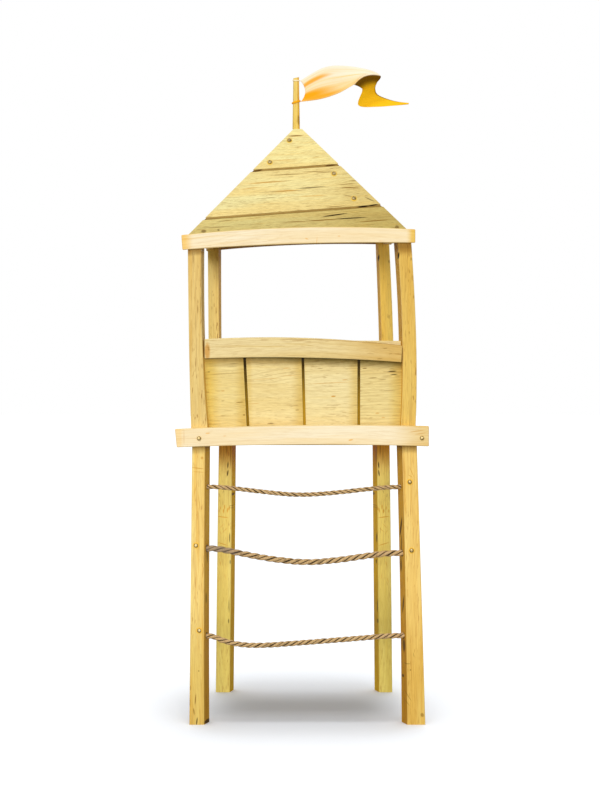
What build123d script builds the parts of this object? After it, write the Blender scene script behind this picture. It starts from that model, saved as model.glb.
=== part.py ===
from build123d import *
import os
from math import hypot, radians, tan

# Play tower of sawn timber. Millimetres, +Z up, front towards -Y.
# The origin is on the ground, under the middle of the whole outline.

# Plan and heights
frame_depth = 1085.0
deck_top = 1475.0
deck_thickness = 28.0
cabin_height = 950.0
roof_side_rise = 24.0
roof_apex_x = -22.0
roof_rise = 607.0

# Legs: sawn with the face square to the front and the sides turned inwards
leg_depth = 85.0
leg_waist = 700.0
front_left_leg_face = [(-565.5, -491), (-557.5, -490), (-548.5, -484)]
front_right_leg_face = [(528, 619), (518, 597.5), (498.5, 572)]
rear_left_leg_face = [(-467, -391), (-459, -383), (-447, -376)]
rear_right_leg_face = [(419, 491), (412, 483.5), (404.5, 473)]
front_left_leg_turn = 24.0
front_right_leg_turn = -26.0
rear_left_leg_turn = 20.0
rear_right_leg_turn = -23.0

# Posts above the deck
post_depth = 90.0
post_waist = 460.0
front_left_post_turn = 12.0
front_right_post_turn = -16.0
rear_post_turn = 11.0
post_spare = 50.0
front_left_post_face = [(-553.5, -470), (-563.5, -497.5), (-569, -498.5)]
front_right_post_face = [(492, 566), (500, 569), (468, 537)]
rear_left_post_face = [(-500, -441), (-503, -446), (-507, -447)]
rear_right_post_face = [(434, 500), (427.5, 492), (406, 466)]

# Platform: a board's heights are (bottom, top) over the deck
platform_board_thickness = 35.0
platform_left_overhang = 83.5
platform_right_overhang = 59.0
platform_left_end = (-80.0, 11.0)
platform_middle = (-66.0, 29.0)
platform_right_end = (-75.0, 25.5)
platform_end_slant = 9.0
rim_thickness = 40.0
rim_height = 50.0
rim_front_left = -515.0
rim_rear_left = -435.0
rim_front_right = 530.0
rim_rear_right = 460.0
joist_width = 45.0
joist_height = 48.0
joist_count = 4
deck_front_left = -556.0
deck_front_right = 568.0
deck_rear_left = -512.0
deck_rear_right = 502.0
deck_board_count = 9
deck_board_gap = 6.0

# Front parapet: it stands a little askew, its right end further forward
parapet_clearance = 0.5
panel_thickness = 18.0
panel_height = 405.0
panel_skew = -1.6
panel_hinge_x = -487.0
panel_start = -505.0
panel_end = 500.0
panel_groove = 14.0
panel_lap = 12.0
panel_seams = [(-269.0, -289.0), (13.5, 3.0), (284.0, 284.0)]
rail_thickness = 40.0
rail_start = -485.0
rail_end_slant = 4.5
rail_left_end = (361.0, 457.0)
rail_middle = (366.0, 464.0)
rail_right_end = (343.0, 426.0)
inner_rail_thickness = 19.0
inner_rail_bottom = 372.0
inner_rail_top_left = 453.0
inner_rail_top_right = 448.0
cleat_height = 45.0

# Side parapets
side_board_count = 4
side_board_thickness = 18.0
side_board_inset = 11.0
side_rail_thickness = 32.0
side_rail_height = 88.0
side_rail_lip = 10.0
side_sill_height = 60.0

# Headers under the roof: heights are (bottom, top) over the roof's left base
header_thickness = 28.0
header_end_slant = 5.5
front_header_ends = (-598.5, 561.5)
front_header_left = (-49.0, 24.0)
front_header_middle = (-18.5, 62.0)
front_header_right = (-14.0, 52.5)
rear_header_ends = (-522.0, 486.0)
rear_header_left = (-38.0, 27.0)
rear_header_middle = (-3.0, 62.0)
rear_header_right = (-2.0, 55.0)
plate_thickness = 30.0
plate_height = 26.0

# Roof: share of each hip, from its foot, at which the seams cross it
roof_front_ends = (-591.5, 551.5)
roof_rear_ends = (-513.0, 476.0)
roof_thickness = 20.0
roof_face_depth = 4.0
roof_groove = 17.0
roof_lap = 14.0
front_left_seams = [0.167, 0.58]
front_right_seams = [0.252, 0.618]
rear_right_seams = [0.19, 0.6]
rear_left_seams = [0.24, 0.57]
cap_bottom_drop = 56.0
cap_top_drop = 22.5
rafter_width = 44.0
rafter_height = 85.0
apex_block_size = 90.0
apex_block_height = 150.0

# Flag pole and pennant
pole_offset = -8.0
pole_height = 267.5
pole_foot_radius = 19.0
pole_top_radius = 14.8
pole_tenon_radius = 13.0
pole_tenon_length = 95.0
pole_top_cut = 12.0
tie_drops = [127.0, 18.0]
tie_width = 9.0
tie_wall = 4.0
hoist_gap = 1.2
flag_thickness = 8.0
# Each line crosses the cloth from its upper to its lower edge, past the hoist to the tip:
# right of the pole, back from it, and above its top
flag_lines = [
    ((136, -25, 46), (122, -25, -115)),
    ((237, -60, 54), (214, -60, -88)),
    ((366, -95, 29), (283, -95, -52)),
    ((433, -115, -12), (296, -115, -49)),
    ((411, -60, -38), (330, -60, -59)),
    ((408, -20, -63), (336, -20, -73)),
    ((429, 10, -89), (320, 10, -144)),
    ((508, -10, -123), (415, -10, -153)),
    ((580, -20, -134), (578, -20, -141)),
]

# Rope rungs: each runs from the bottom of one hole to the bottom of the other
rope_depth_in_leg = 42.5
rope_hole_depth = 25.0
rope_hole_clearance = 0.5
top_rope_diameter = 24.0
middle_rope_diameter = 32.0
bottom_rope_diameter = 28.0
rope_sides = 16
top_rope_points = [(-425, 1193), (-315, 1182), (-170, 1164), (-15, 1150), (145, 1160),
                   (310, 1179), (440, 1192)]
middle_rope_points = [(-425, 884), (-305, 857), (-155, 829), (20, 810), (185, 824),
                      (330, 847), (460, 861)]
bottom_rope_points = [(-450, 444), (-395, 416), (-305, 396), (-200, 393), (-50, 403.5),
                      (150, 419), (325, 433), (450, 444)]

joint_clearance = 0.3
edge_ease = 3.0

# Derived planes
front_plane = -frame_depth / 2
rear_plane = frame_depth / 2
deck_underside = deck_top - deck_thickness
roof_base_left = deck_top + cabin_height
roof_base_right = roof_base_left + roof_side_rise
roof_apex_height = roof_base_left + roof_rise
leg_back = front_plane + leg_depth
post_back = front_plane + post_depth
front_board_ends = (front_left_leg_face[2][0] - platform_left_overhang,
                    front_right_leg_face[2][1] + platform_right_overhang)
rear_board_ends = (rear_left_leg_face[2][0] - platform_left_overhang,
                   rear_right_leg_face[2][1] + platform_right_overhang)
panel_front = post_back - parapet_clearance - inner_rail_thickness - panel_thickness
panel_top = deck_top + panel_height
cap_bottom = roof_apex_height - cap_bottom_drop
cap_top = roof_apex_height - cap_top_drop
pole_x = roof_apex_x + pole_offset
pole_top = cap_top + pole_height
roof_apex = Vector(roof_apex_x, 0, roof_apex_height)
roof_tilt = (roof_base_right - roof_base_left) / (roof_front_ends[1] - roof_front_ends[0])


def roof_base_at(x):
    return roof_base_left + (x - roof_front_ends[0]) * roof_tilt


base_plane = Plane(
    origin=(0, 0, roof_base_at(0)), x_dir=(1, 0, roof_tilt), z_dir=(-roof_tilt, 0, 1)
)


def bow(start, middle, end):
    """Curve through three points, bent evenly."""
    start, middle, end = Vector(start), Vector(middle), Vector(end)
    return Bezier(start, middle * 2 - (start + end) * 0.5, end)


def timber(face, levels, front, depth, turn):
    """Post or leg: bowed face outline, run back and sideways by its turn."""
    (l0, r0), (l1, r1), (l2, r2) = face
    z0, z1, z2 = levels
    outline = [
        Line((l0, front, z0), (r0, front, z0)),
        bow((r0, front, z0), (r1, front, z1), (r2, front, z2)),
        Line((r2, front, z2), (l2, front, z2)),
        bow((l2, front, z2), (l1, front, z1), (l0, front, z0)),
    ]
    stock = extrude(make_face(outline), amount=hypot(depth, turn), dir=(turn, depth, 0))
    arrises = [edge for edge in stock.edges() if edge.length > (z2 - z0) / 2]
    return chamfer(arrises, edge_ease)


def bowed_board(ends, level, heights, front, thickness, slant=0.0, end_slant=0.0):
    """Board across the front or rear: (bottom, top) over a level, from left to right.

    Each slant sets the lower corner of that end further in than the upper one.
    """
    x0, x1 = ends
    left, middle, right = [(level + low, level + high) for low, high in heights]
    xm = (x0 + x1) / 2
    low_left = (x0 + slant, front, left[0])
    low_right = (x1 - end_slant, front, right[0])
    outline = [
        bow(low_left, (xm, front, middle[0]), low_right),
        Line(low_right, (x1, front, right[1])),
        bow((x1, front, right[1]), (xm, front, middle[1]), (x0, front, left[1])),
        Line((x0, front, left[1]), low_left),
    ]
    stock = extrude(make_face(outline), amount=thickness, dir=(0, 1, 0))
    return chamfer(stock.edges(), edge_ease)


def slab(plan, bottom, height):
    """Plan outline given as (x, y) points, raised from bottom by height."""
    outline = Polyline(*[(x, y, bottom) for x, y in plan], close=True)
    return extrude(make_face(outline), amount=height, dir=(0, 0, 1))


def upright(outline, front, thickness):
    """Outline of (x, z) points in a plane across the front, run back by thickness."""
    edge = Polyline(*[(x, front, z) for x, z in outline], close=True)
    return extrude(make_face(edge), amount=thickness, dir=(0, 1, 0))


def between(start, end, share):
    return start + (end - start) * share


def save(name, shape):
    export_step(shape, os.path.join("parts", name + ".step"))


def rope_path(points, left_face, right_face, y):
    """Route from hole bottom to hole bottom, as runs joined by large arcs."""
    start = (left_face - rope_hole_depth, y, points[0][1])
    end = (right_face + rope_hole_depth, y, points[-1][1])
    route = [Vector(*start)] + [Vector(x, y, z) for x, z in points] + [Vector(*end)]
    radii = []
    for before, here, after in zip(route, route[1:], route[2:]):
        turn = (here - before).get_angle(after - here)
        shorter = min((here - before).length, (after - here).length)
        radii.append(0.45 * shorter / tan(radians(turn) / 2))
    return FilletPolyline(*route, radius=radii), radii


def rope(name, points, diameter, left_face, right_face, y):
    path, radii = rope_path(points, left_face, right_face, y)
    outline = RegularPolygon(diameter / 2, rope_sides)
    section = Plane(origin=path @ 0, z_dir=path % 0) * outline
    tube = sweep(section, path=path)
    expected = section.area * path.length
    print(name, "length", round(path.length, 1), "radii", [round(r) for r in radii],
          "volume share", round(tube.volume / expected, 4))
    return tube


def make_legs():
    levels = (0, leg_waist, deck_underside)
    rear_face = rear_plane - leg_depth
    front = [(front_left_leg_face, front_left_leg_turn),
             (front_right_leg_face, front_right_leg_turn)]
    rear = [(rear_left_leg_face, rear_left_leg_turn),
            (rear_right_leg_face, rear_right_leg_turn)]
    legs = [timber(face, levels, front_plane, leg_depth, turn) for face, turn in front]
    legs += [timber(face, levels, rear_face, leg_depth, turn) for face, turn in rear]
    return legs


def inner_face_x(leg, side, y, z):
    """X of a front leg's inner face at a height, where a rope enters it."""
    reach = front_board_ends[1] - front_board_ends[0]
    probe = Edge.make_line((-reach * side, y, z), (reach * side, y, z))
    crossing = probe.intersect(leg)
    ends = [point.X for edge in crossing.edges() for point in edge.vertices()]
    return max(ends) if side < 0 else min(ends)


def bore(x, side, y, z, diameter):
    """Blind hole in a leg, square to the front-to-back plane."""
    length = rope_hole_depth + leg_depth
    middle = x + side * (rope_hole_depth - length / 2)
    turned = Location((middle, y, z), (0, 90, 0))
    return turned * Cylinder(diameter / 2 + rope_hole_clearance, length)


def make_trestle():
    left, right, rear_left, rear_right = make_legs()
    y = front_plane + rope_depth_in_leg
    rungs = [("top_rope_rung", top_rope_points, top_rope_diameter),
             ("middle_rope_rung", middle_rope_points, middle_rope_diameter),
             ("bottom_rope_rung", bottom_rope_points, bottom_rope_diameter)]
    plain_left, plain_right = left, right
    for name, points, diameter in rungs:
        left_x = inner_face_x(plain_left, -1, y, points[0][1])
        right_x = inner_face_x(plain_right, 1, y, points[-1][1])
        left = left - bore(left_x, -1, y, points[0][1], diameter)
        right = right - bore(right_x, 1, y, points[-1][1], diameter)
        save(name, rope(name, points, diameter, left_x, right_x, y))
    save("front_left_leg", left)
    save("front_right_leg", right)
    save("rear_left_leg", rear_left)
    save("rear_right_leg", rear_right)


def make_platform():
    heights = (platform_left_end, platform_middle, platform_right_end)
    outer = front_plane - platform_board_thickness
    save("platform_front_board",
         bowed_board(front_board_ends, deck_top, heights, outer,
                     platform_board_thickness, platform_end_slant))
    save("platform_rear_board",
         bowed_board(rear_board_ends, deck_top, heights, rear_plane,
                     platform_board_thickness, platform_end_slant))

    def rim_x(front_x, rear_x, y):
        return between(front_x, rear_x, (y - leg_back) / (-2 * leg_back))

    bottom = deck_underside - rim_height
    save("left_rim_joist", slab([
        (rim_front_left, leg_back), (rim_front_left + rim_thickness, leg_back),
        (rim_rear_left + rim_thickness, -leg_back), (rim_rear_left, -leg_back),
    ], bottom, rim_height))
    save("right_rim_joist", slab([
        (rim_front_right - rim_thickness, leg_back), (rim_front_right, leg_back),
        (rim_rear_right, -leg_back), (rim_rear_right - rim_thickness, -leg_back),
    ], bottom, rim_height))

    joists = []
    first_joist = leg_back + joist_width / 2
    for index in range(joist_count):
        place = between(first_joist, -first_joist, index / (joist_count - 1))
        corners = []
        for y in (place - joist_width / 2, place + joist_width / 2):
            corners.append((rim_x(rim_front_left, rim_rear_left, y) + rim_thickness,
                            rim_x(rim_front_right, rim_rear_right, y) - rim_thickness, y))
        (a, b, y0), (c, d, y1) = corners
        joists.append(slab([(a, y0), (b, y0), (d, y1), (c, y1)],
                           deck_underside - joist_height, joist_height))
    save("deck_joists", Compound(joists))

    outline = slab([(deck_front_left, front_plane), (deck_front_right, front_plane),
                    (deck_rear_right, rear_plane), (deck_rear_left, rear_plane)],
                   deck_underside, deck_thickness)
    pitch = (deck_front_right - deck_front_left + deck_board_gap) / deck_board_count
    boards = []
    for index in range(deck_board_count):
        x0 = deck_front_left + index * pitch
        x1 = x0 + pitch - deck_board_gap
        strip = slab([(x0, front_plane), (x1, front_plane),
                      (x1, rear_plane), (x0, rear_plane)], deck_underside, deck_thickness)
        boards.append(strip & outline)
    save("deck_boards", Compound([solid for board in boards for solid in board.solids()]))


def make_posts():
    levels = (deck_top, deck_top + post_waist, roof_base_right + post_spare)
    rear_face = rear_plane - post_depth
    places = [
        ("front_left_post", front_left_post_face, front_plane, front_left_post_turn),
        ("front_right_post", front_right_post_face, front_plane, front_right_post_turn),
        ("rear_left_post", rear_left_post_face, rear_face, rear_post_turn),
        ("rear_right_post", rear_right_post_face, rear_face, -rear_post_turn),
    ]
    posts = {}
    for name, face, front, turn in places:
        stock = timber(face, levels, front, post_depth, turn)
        posts[name] = split(stock, bisect_by=base_plane, keep=Keep.BOTTOM)
        save(name, posts[name])
    return posts


def make_front_parapet(posts):
    hinge = Axis((panel_hinge_x, panel_front, 0), (0, 0, 1))
    left_post, right_post = posts["front_left_post"], posts["front_right_post"]

    def fit(shape):
        """Turn a piece of the parapet askew and scribe it to the posts."""
        placed = shape.rotate(hinge, panel_skew) - left_post - right_post
        return placed

    half = panel_thickness / 2
    half_groove = panel_groove / 2
    first = (panel_start, panel_start)
    last = (panel_end, panel_end)
    seams = [first] + panel_seams + [last]
    for index, (left, right) in enumerate(zip(seams, seams[1:]), start=1):
        is_first = index == 1
        is_last = index == len(seams) - 1
        start_gap = 0 if is_first else half_groove
        start_lap = 0 if is_first else half_groove + panel_lap + joint_clearance
        end_gap = 0 if is_last else -half_groove
        end_lap = 0 if is_last else half_groove + panel_lap
        face = upright([(left[0] + start_gap, deck_top), (right[0] + end_gap, deck_top),
                        (right[1] + end_gap, panel_top), (left[1] + start_gap, panel_top)],
                       panel_front, half)
        back = upright([(left[0] + start_lap, deck_top), (right[0] + end_lap, deck_top),
                        (right[1] + end_lap, panel_top), (left[1] + start_lap, panel_top)],
                       panel_front + half, half)
        save(f"front_panel_board_{index}", fit(face + back))

    rail = bowed_board((rail_start, panel_end), deck_top,
                       (rail_left_end, rail_middle, rail_right_end),
                       panel_front - rail_thickness, rail_thickness,
                       end_slant=rail_end_slant)
    save("front_rail", fit(rail))
    back = panel_front + panel_thickness
    inner = upright([(panel_start, deck_top + inner_rail_bottom),
                     (panel_end, deck_top + inner_rail_bottom),
                     (panel_end, deck_top + inner_rail_top_right),
                     (panel_start, deck_top + inner_rail_top_left)],
                    back, inner_rail_thickness)
    save("front_inner_rail", fit(chamfer(inner.edges(), edge_ease)))
    cleat = upright([(panel_start, deck_top), (panel_end, deck_top),
                     (panel_end, deck_top + cleat_height),
                     (panel_start, deck_top + cleat_height)], back, inner_rail_thickness)
    save("front_panel_cleat", fit(cleat))


def side_strip(front_x, rear_x, start, end, thickness, bottom, top):
    """Board of a side wall, between two shares of the way from front to rear post."""
    y0 = between(post_back, -post_back, start)
    y1 = between(post_back, -post_back, end)
    x0 = between(front_x, rear_x, start)
    x1 = between(front_x, rear_x, end)
    return slab([(x0, y0), (x0 + thickness, y0), (x1 + thickness, y1), (x1, y1)],
                bottom, top - bottom)


def make_side_parapets():
    length = -2 * post_back
    groove = panel_groove / length
    lap = panel_lap / length
    pitch = 1 / side_board_count
    sides = [
        ("left", 1, front_left_post_face[0][0] + front_left_post_turn,
         rear_left_post_face[0][0]),
        ("right", -1, front_right_post_face[0][1] + front_right_post_turn,
         rear_right_post_face[0][1]),
    ]
    for side, inwards, front_x, rear_x in sides:
        front_x += inwards * side_board_inset
        rear_x += inwards * side_board_inset
        boards = []
        for index in range(side_board_count):
            start = index * pitch
            end = start + pitch
            is_last = index == side_board_count - 1
            face_end = end if is_last else end - groove
            back_start = start if index == 0 else start + lap + joint_clearance / length
            back_end = end if is_last else end + lap
            half = inwards * side_board_thickness / 2
            board_top = panel_top - joint_clearance
            face = side_strip(front_x, rear_x, start, face_end, half, deck_top, board_top)
            back = side_strip(front_x + half, rear_x + half, back_start, back_end, half,
                              deck_top, board_top)
            boards.append(face + back)
        save(f"{side}_panel_boards",
             Compound([solid for board in boards for solid in board.solids()]))
        shift = inwards * side_board_thickness
        rail_top = panel_top + side_rail_lip
        spans = [(rail_top - side_rail_height, rail_top),
                 (deck_top, deck_top + side_sill_height)]
        rails = []
        for bottom, top in spans:
            stock = side_strip(front_x + shift, rear_x + shift, 0, 1,
                               inwards * side_rail_thickness, bottom, top)
            long_edges = [edge for edge in stock.edges() if edge.length > length / 2]
            rails += chamfer(long_edges, edge_ease).solids()
        save(f"{side}_rails", Compound(rails))


def make_headers():
    save("front_header",
         bowed_board(front_header_ends, roof_base_left,
                     (front_header_left, front_header_middle, front_header_right),
                     front_plane - header_thickness, header_thickness, header_end_slant))
    save("rear_header",
         bowed_board(rear_header_ends, roof_base_left,
                     (rear_header_left, rear_header_middle, rear_header_right),
                     rear_plane, header_thickness, header_end_slant))
    sides = [
        ("left_header", 1, front_left_post_face[2][0] + front_left_post_turn,
         rear_left_post_face[2][0], roof_base_left),
        ("right_header", -1, front_right_post_face[2][1] + front_right_post_turn,
         rear_right_post_face[2][1], roof_base_right),
    ]
    for name, inwards, front_x, rear_x, base in sides:
        stock = side_strip(front_x, rear_x, 0, 1, inwards * plate_thickness,
                           base - plate_height, base + post_spare)
        save(name, split(stock, bisect_by=base_plane, keep=Keep.BOTTOM))


def roof_corners():
    """Foot of each hip, in turn round the roof."""
    plan = [(roof_front_ends[0], front_plane), (roof_front_ends[1], front_plane),
            (roof_rear_ends[1], rear_plane), (roof_rear_ends[0], rear_plane)]
    return [Vector(x, y, roof_base_at(x)) for x, y in plan]


def roof_face_plane(corner, following):
    along = following - corner
    return Plane(origin=corner, x_dir=along, z_dir=along.cross(roof_apex - corner))


def hip_plane(corner, before, after, inside):
    """Mitre through a hip, halfway between its two faces, facing a point inside."""
    rise = roof_apex - corner
    spread = before.z_dir + after.z_dir
    normal = rise.cross(spread)
    if normal.dot(inside - corner) < 0:
        normal = normal * -1
    return Plane(origin=corner, x_dir=rise, z_dir=normal)


def roof_layer(plane, lower, upper, lift_lower, lift_upper, start_depth, depth):
    """One layer of a roof board between two seam lines of its face."""
    points = []
    for line, lift in ((lower, lift_lower), (upper, lift_upper)):
        a, b = (plane.to_local_coords(point) for point in line)
        along = (b - a).normalized()
        up = Vector(-along.Y, along.X, 0) * lift
        reach = along * roof_thickness * 4
        points.append((a + up - reach, b + up + reach))
    (a, b), (c, d) = points
    outline = Polyline((a.X, a.Y), (b.X, b.Y), (d.X, d.Y), (c.X, c.Y), close=True)
    layer = extrude(make_face(outline), amount=-depth)
    return plane * Pos(0, 0, -start_depth) * layer


def inner_pyramid(corners, planes):
    """Space under the roof boards."""
    width = roof_front_ends[1] - roof_front_ends[0]
    height = roof_apex_height - roof_base_left
    space = Pos(roof_apex_x, 0, roof_base_left + height / 2) * Box(
        width * 2, frame_depth * 2, height * 2)
    for plane in planes:
        space = split(space, bisect_by=plane.offset(-roof_thickness), keep=Keep.BOTTOM)
    return split(space, bisect_by=base_plane, keep=Keep.TOP)


def make_roof():
    corners = roof_corners()
    seams = [front_left_seams, front_right_seams, rear_right_seams, rear_left_seams]
    names = ["roof_front_boards", "roof_right_boards", "roof_rear_boards",
             "roof_left_boards"]
    rafters = ["front_left_rafter", "front_right_rafter", "rear_right_rafter",
               "rear_left_rafter"]
    count = len(corners)
    planes = [roof_face_plane(corners[i], corners[(i + 1) % count]) for i in range(count)]
    cap_plane = Plane(origin=(0, 0, cap_bottom))
    back_depth = roof_thickness - roof_face_depth

    for i, name in enumerate(names):
        j = (i + 1) % count
        a, b, plane = corners[i], corners[j], planes[i]
        inside = (a + b + roof_apex) * (1 / 3)
        start_mitre = hip_plane(a, planes[i - 1], plane, inside)
        end_mitre = hip_plane(b, plane, planes[j], inside)
        lines = [(a, b)]
        for share_a, share_b in zip(seams[i], seams[j]):
            lines.append((between(a, roof_apex, share_a), between(b, roof_apex, share_b)))
        top_share = (cap_bottom - roof_base_left) / (roof_apex_height - roof_base_left)
        lines.append((between(a, roof_apex, top_share), between(b, roof_apex, top_share)))
        boards = []
        for course, (lower, upper) in enumerate(zip(lines, lines[1:])):
            is_first = course == 0
            is_last = course == len(lines) - 2
            spare = 2 * roof_thickness
            face_low = -spare if is_first else roof_groove
            back_low = -spare if is_first else roof_groove + roof_lap + joint_clearance
            face_high = spare if is_last else 0
            back_high = spare if is_last else roof_groove + roof_lap
            board = roof_layer(plane, lower, upper, face_low, face_high, 0,
                               roof_face_depth)
            board += roof_layer(plane, lower, upper, back_low, back_high,
                                roof_face_depth, back_depth)
            for mitre in (start_mitre, end_mitre, base_plane):
                board = split(board, bisect_by=mitre, keep=Keep.TOP)
            board = split(board, bisect_by=cap_plane, keep=Keep.BOTTOM)
            boards += board.solids()
        save(name, Compound(boards))

    space = inner_pyramid(corners, planes)
    axis = Pos(roof_apex_x, 0, 0)
    block = axis * Pos(0, 0, cap_bottom - apex_block_height / 2) * Box(
        apex_block_size, apex_block_size, apex_block_height)
    block = block & space
    for i, name in enumerate(rafters):
        corner = corners[i]
        drop = Vector(0, 0, -rafter_height)
        side = (roof_apex - corner).cross(Vector(0, 0, 1)).normalized()
        profile = Polyline(corner, roof_apex, roof_apex + drop, corner + drop, close=True)
        profile = make_face(profile)
        stock = extrude(profile, amount=rafter_width / 2, dir=side, both=True)
        backed = split(stock & space, bisect_by=cap_plane, keep=Keep.BOTTOM)
        save(name, backed - block)

    cap = Pos(roof_apex_x, 0, (cap_bottom + cap_top) / 2) * Box(
        apex_block_size * 2, apex_block_size * 2, cap_top - cap_bottom)
    for plane in planes:
        cap = split(cap, bisect_by=plane, keep=Keep.BOTTOM)
    socket_depth = pole_tenon_length + joint_clearance
    socket = Pos(pole_x, 0, cap_top - socket_depth / 2) * Cylinder(
        pole_tenon_radius + joint_clearance, socket_depth)
    save("apex_block", block - socket)
    save("roof_cap", cap - socket)


def make_flag():
    height = pole_top - cap_top
    stem = Pos(pole_x, 0, cap_top + height / 2) * Cone(
        pole_foot_radius, pole_top_radius, height)
    cut = Plane(origin=(pole_x, 0, pole_top - pole_top_radius * tan(radians(pole_top_cut))),
                z_dir=(-tan(radians(pole_top_cut)), 0, 1))
    stem = split(stem, bisect_by=cut, keep=Keep.BOTTOM)
    tenon = Pos(pole_x, 0, cap_top - pole_tenon_length / 2) * Cylinder(
        pole_tenon_radius, pole_tenon_length)
    pole = stem + tenon
    save("flag_pole", pole)

    ties = []
    hoist = []
    for drop in tie_drops:
        z = pole_top - drop
        share = (z - tie_width / 2 - cap_top) / height
        inner = between(pole_foot_radius, pole_top_radius, share)
        outer = inner + tie_wall
        ring = Cylinder(outer, tie_width) - Cylinder(inner, tie_width)
        ties += (Pos(pole_x, 0, z) * ring).solids()
        hoist.append(Vector(pole_x + outer + hoist_gap, 0, z))
    save("flag_ties", Compound(ties))

    lower, upper = hoist
    pole_head = Vector(pole_x, 0, pole_top)
    lines = [(upper, lower)]
    lines += [(pole_head + Vector(*top), pole_head + Vector(*low)) for top, low in flag_lines]
    sections = []
    count = len(lines)
    middles = [(top + low) * 0.5 for top, low in lines]
    for i, (top, low) in enumerate(lines):
        ahead = middles[min(i + 1, count - 1)] - middles[max(i - 1, 0)]
        side = (top - low).cross(ahead).normalized() * (flag_thickness / 2)
        sections.append(Wire(Polyline(top + side, low + side, low - side, top - side,
                                      close=True).edges()))
    save("flag", Solid.make_loft(sections, ruled=True))


os.makedirs("parts", exist_ok=True)
make_trestle()
make_platform()
made_posts = make_posts()
make_front_parapet(made_posts)
make_side_parapets()
make_headers()
make_roof()
make_flag()
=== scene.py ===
import math
import bmesh
import bpy
from mathutils import Matrix, Vector, noise


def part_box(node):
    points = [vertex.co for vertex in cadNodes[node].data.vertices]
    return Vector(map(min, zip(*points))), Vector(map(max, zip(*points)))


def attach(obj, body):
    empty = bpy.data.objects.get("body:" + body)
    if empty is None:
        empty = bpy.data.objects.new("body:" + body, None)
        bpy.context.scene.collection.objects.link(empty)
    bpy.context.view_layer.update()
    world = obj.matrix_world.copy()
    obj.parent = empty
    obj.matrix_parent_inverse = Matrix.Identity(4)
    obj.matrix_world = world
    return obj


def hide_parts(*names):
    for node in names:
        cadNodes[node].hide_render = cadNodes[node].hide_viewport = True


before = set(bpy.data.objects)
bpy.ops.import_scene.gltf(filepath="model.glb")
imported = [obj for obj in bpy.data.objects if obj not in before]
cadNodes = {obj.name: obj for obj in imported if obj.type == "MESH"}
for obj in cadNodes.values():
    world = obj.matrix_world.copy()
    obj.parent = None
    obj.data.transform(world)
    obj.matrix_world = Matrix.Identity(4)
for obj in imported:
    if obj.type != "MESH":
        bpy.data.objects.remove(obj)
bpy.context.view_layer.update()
bpy.ops.object.select_all(action="DESELECT")
print("frame loaded:", len(cadNodes), "CAD nodes")

camera = {
    "place": (-0.01144, -12.7506, 2.1704),
    "pitchDown": 2.537,
    "yaw": -0.0062,
    "lens": 110.36,
    "sensor": 36,
}


def addCamera():
    bpy.ops.object.camera_add(
        location=camera["place"],
        rotation=(math.radians(90 - camera["pitchDown"]), 0, math.radians(camera["yaw"])),
    )
    made = bpy.context.object
    made.data.lens = camera["lens"]
    made.data.sensor_width = camera["sensor"]
    bpy.context.scene.camera = made


addCamera()
print("camera set")


# The object of a finished mesh
def linkPiece(mesh, name):
    made = bpy.data.meshes.new(name)
    mesh.to_mesh(made)
    mesh.free()
    piece = bpy.data.objects.new(name, made)
    bpy.context.collection.objects.link(piece)
    return piece


# Skins a row of rings as a closed tube, and returns its side faces ring by ring
def skinTube(mesh, rings):
    sides, faces = len(rings[0]), []
    for first, second in zip(rings, rings[1:]):
        for side in range(sides):
            after = (side + 1) % sides
            face = mesh.faces.new([first[side], first[after], second[after], second[side]])
            face.smooth = True
            faces.append(face)
    mesh.faces.new(rings[0][::-1])
    mesh.faces.new(rings[-1])
    return faces


# Rope rungs: three laid strands each, on the route of the rung's solid
rungs = {
    "depth": -0.5,
    "strandShare": 0.256,
    "strandOffset": 0.25,
    "wander": 0.35,
    "swell": 0.05,
    "uvPerMetre": 10,
    "sides": 14,
    "step": 0.0042,
    "rungs": [
        {"name": "topRung", "node": "top_rope_rung", "diameter": 0.024, "length": 1.0199,
         "lay": 0.1, "hand": -1,
         "route": [(-0.425, 1.193), (-0.315, 1.182), (-0.17, 1.164), (-0.015, 1.15),
                   (0.145, 1.16), (0.31, 1.179), (0.44, 1.192)]},
        {"name": "middleRung", "node": "middle_rope_rung", "diameter": 0.032,
         "length": 1.0372, "lay": 0.13, "hand": 1,
         "route": [(-0.425, 0.884), (-0.305, 0.857), (-0.155, 0.829), (0.02, 0.81),
                   (0.185, 0.824), (0.33, 0.847), (0.46, 0.861)]},
        {"name": "bottomRung", "node": "bottom_rope_rung", "diameter": 0.028,
         "length": 1.0508, "lay": 0.108, "hand": 1,
         "route": [(-0.45, 0.444), (-0.395, 0.416), (-0.305, 0.396), (-0.2, 0.393),
                   (-0.05, 0.4035), (0.15, 0.419), (0.325, 0.433), (0.45, 0.444)]},
    ],
}


# The rung's smooth line, from the bottom of one hole to the other
def ropeLine(rung):
    low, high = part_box(rung["node"])
    route = [(low[0], rung["route"][0][1])] + rung["route"] + [(high[0], rung["route"][-1][1])]
    curve = bpy.data.curves.new(rung["name"] + "Line", "CURVE")
    curve.dimensions = "3D"
    curve.resolution_u = 30
    spline = curve.splines.new("NURBS")
    spline.points.add(len(route) - 1)
    for point, (x, z) in zip(spline.points, route):
        point.co = (x, rungs["depth"], z, 1)
    spline.order_u = 3
    spline.use_endpoint_u = True
    holder = bpy.data.objects.new(rung["name"] + "Line", curve)
    mesh = bpy.data.meshes.new_from_object(holder)
    line = [vertex.co.copy() for vertex in mesh.vertices]
    bpy.data.meshes.remove(mesh)
    bpy.data.objects.remove(holder)
    return line


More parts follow.
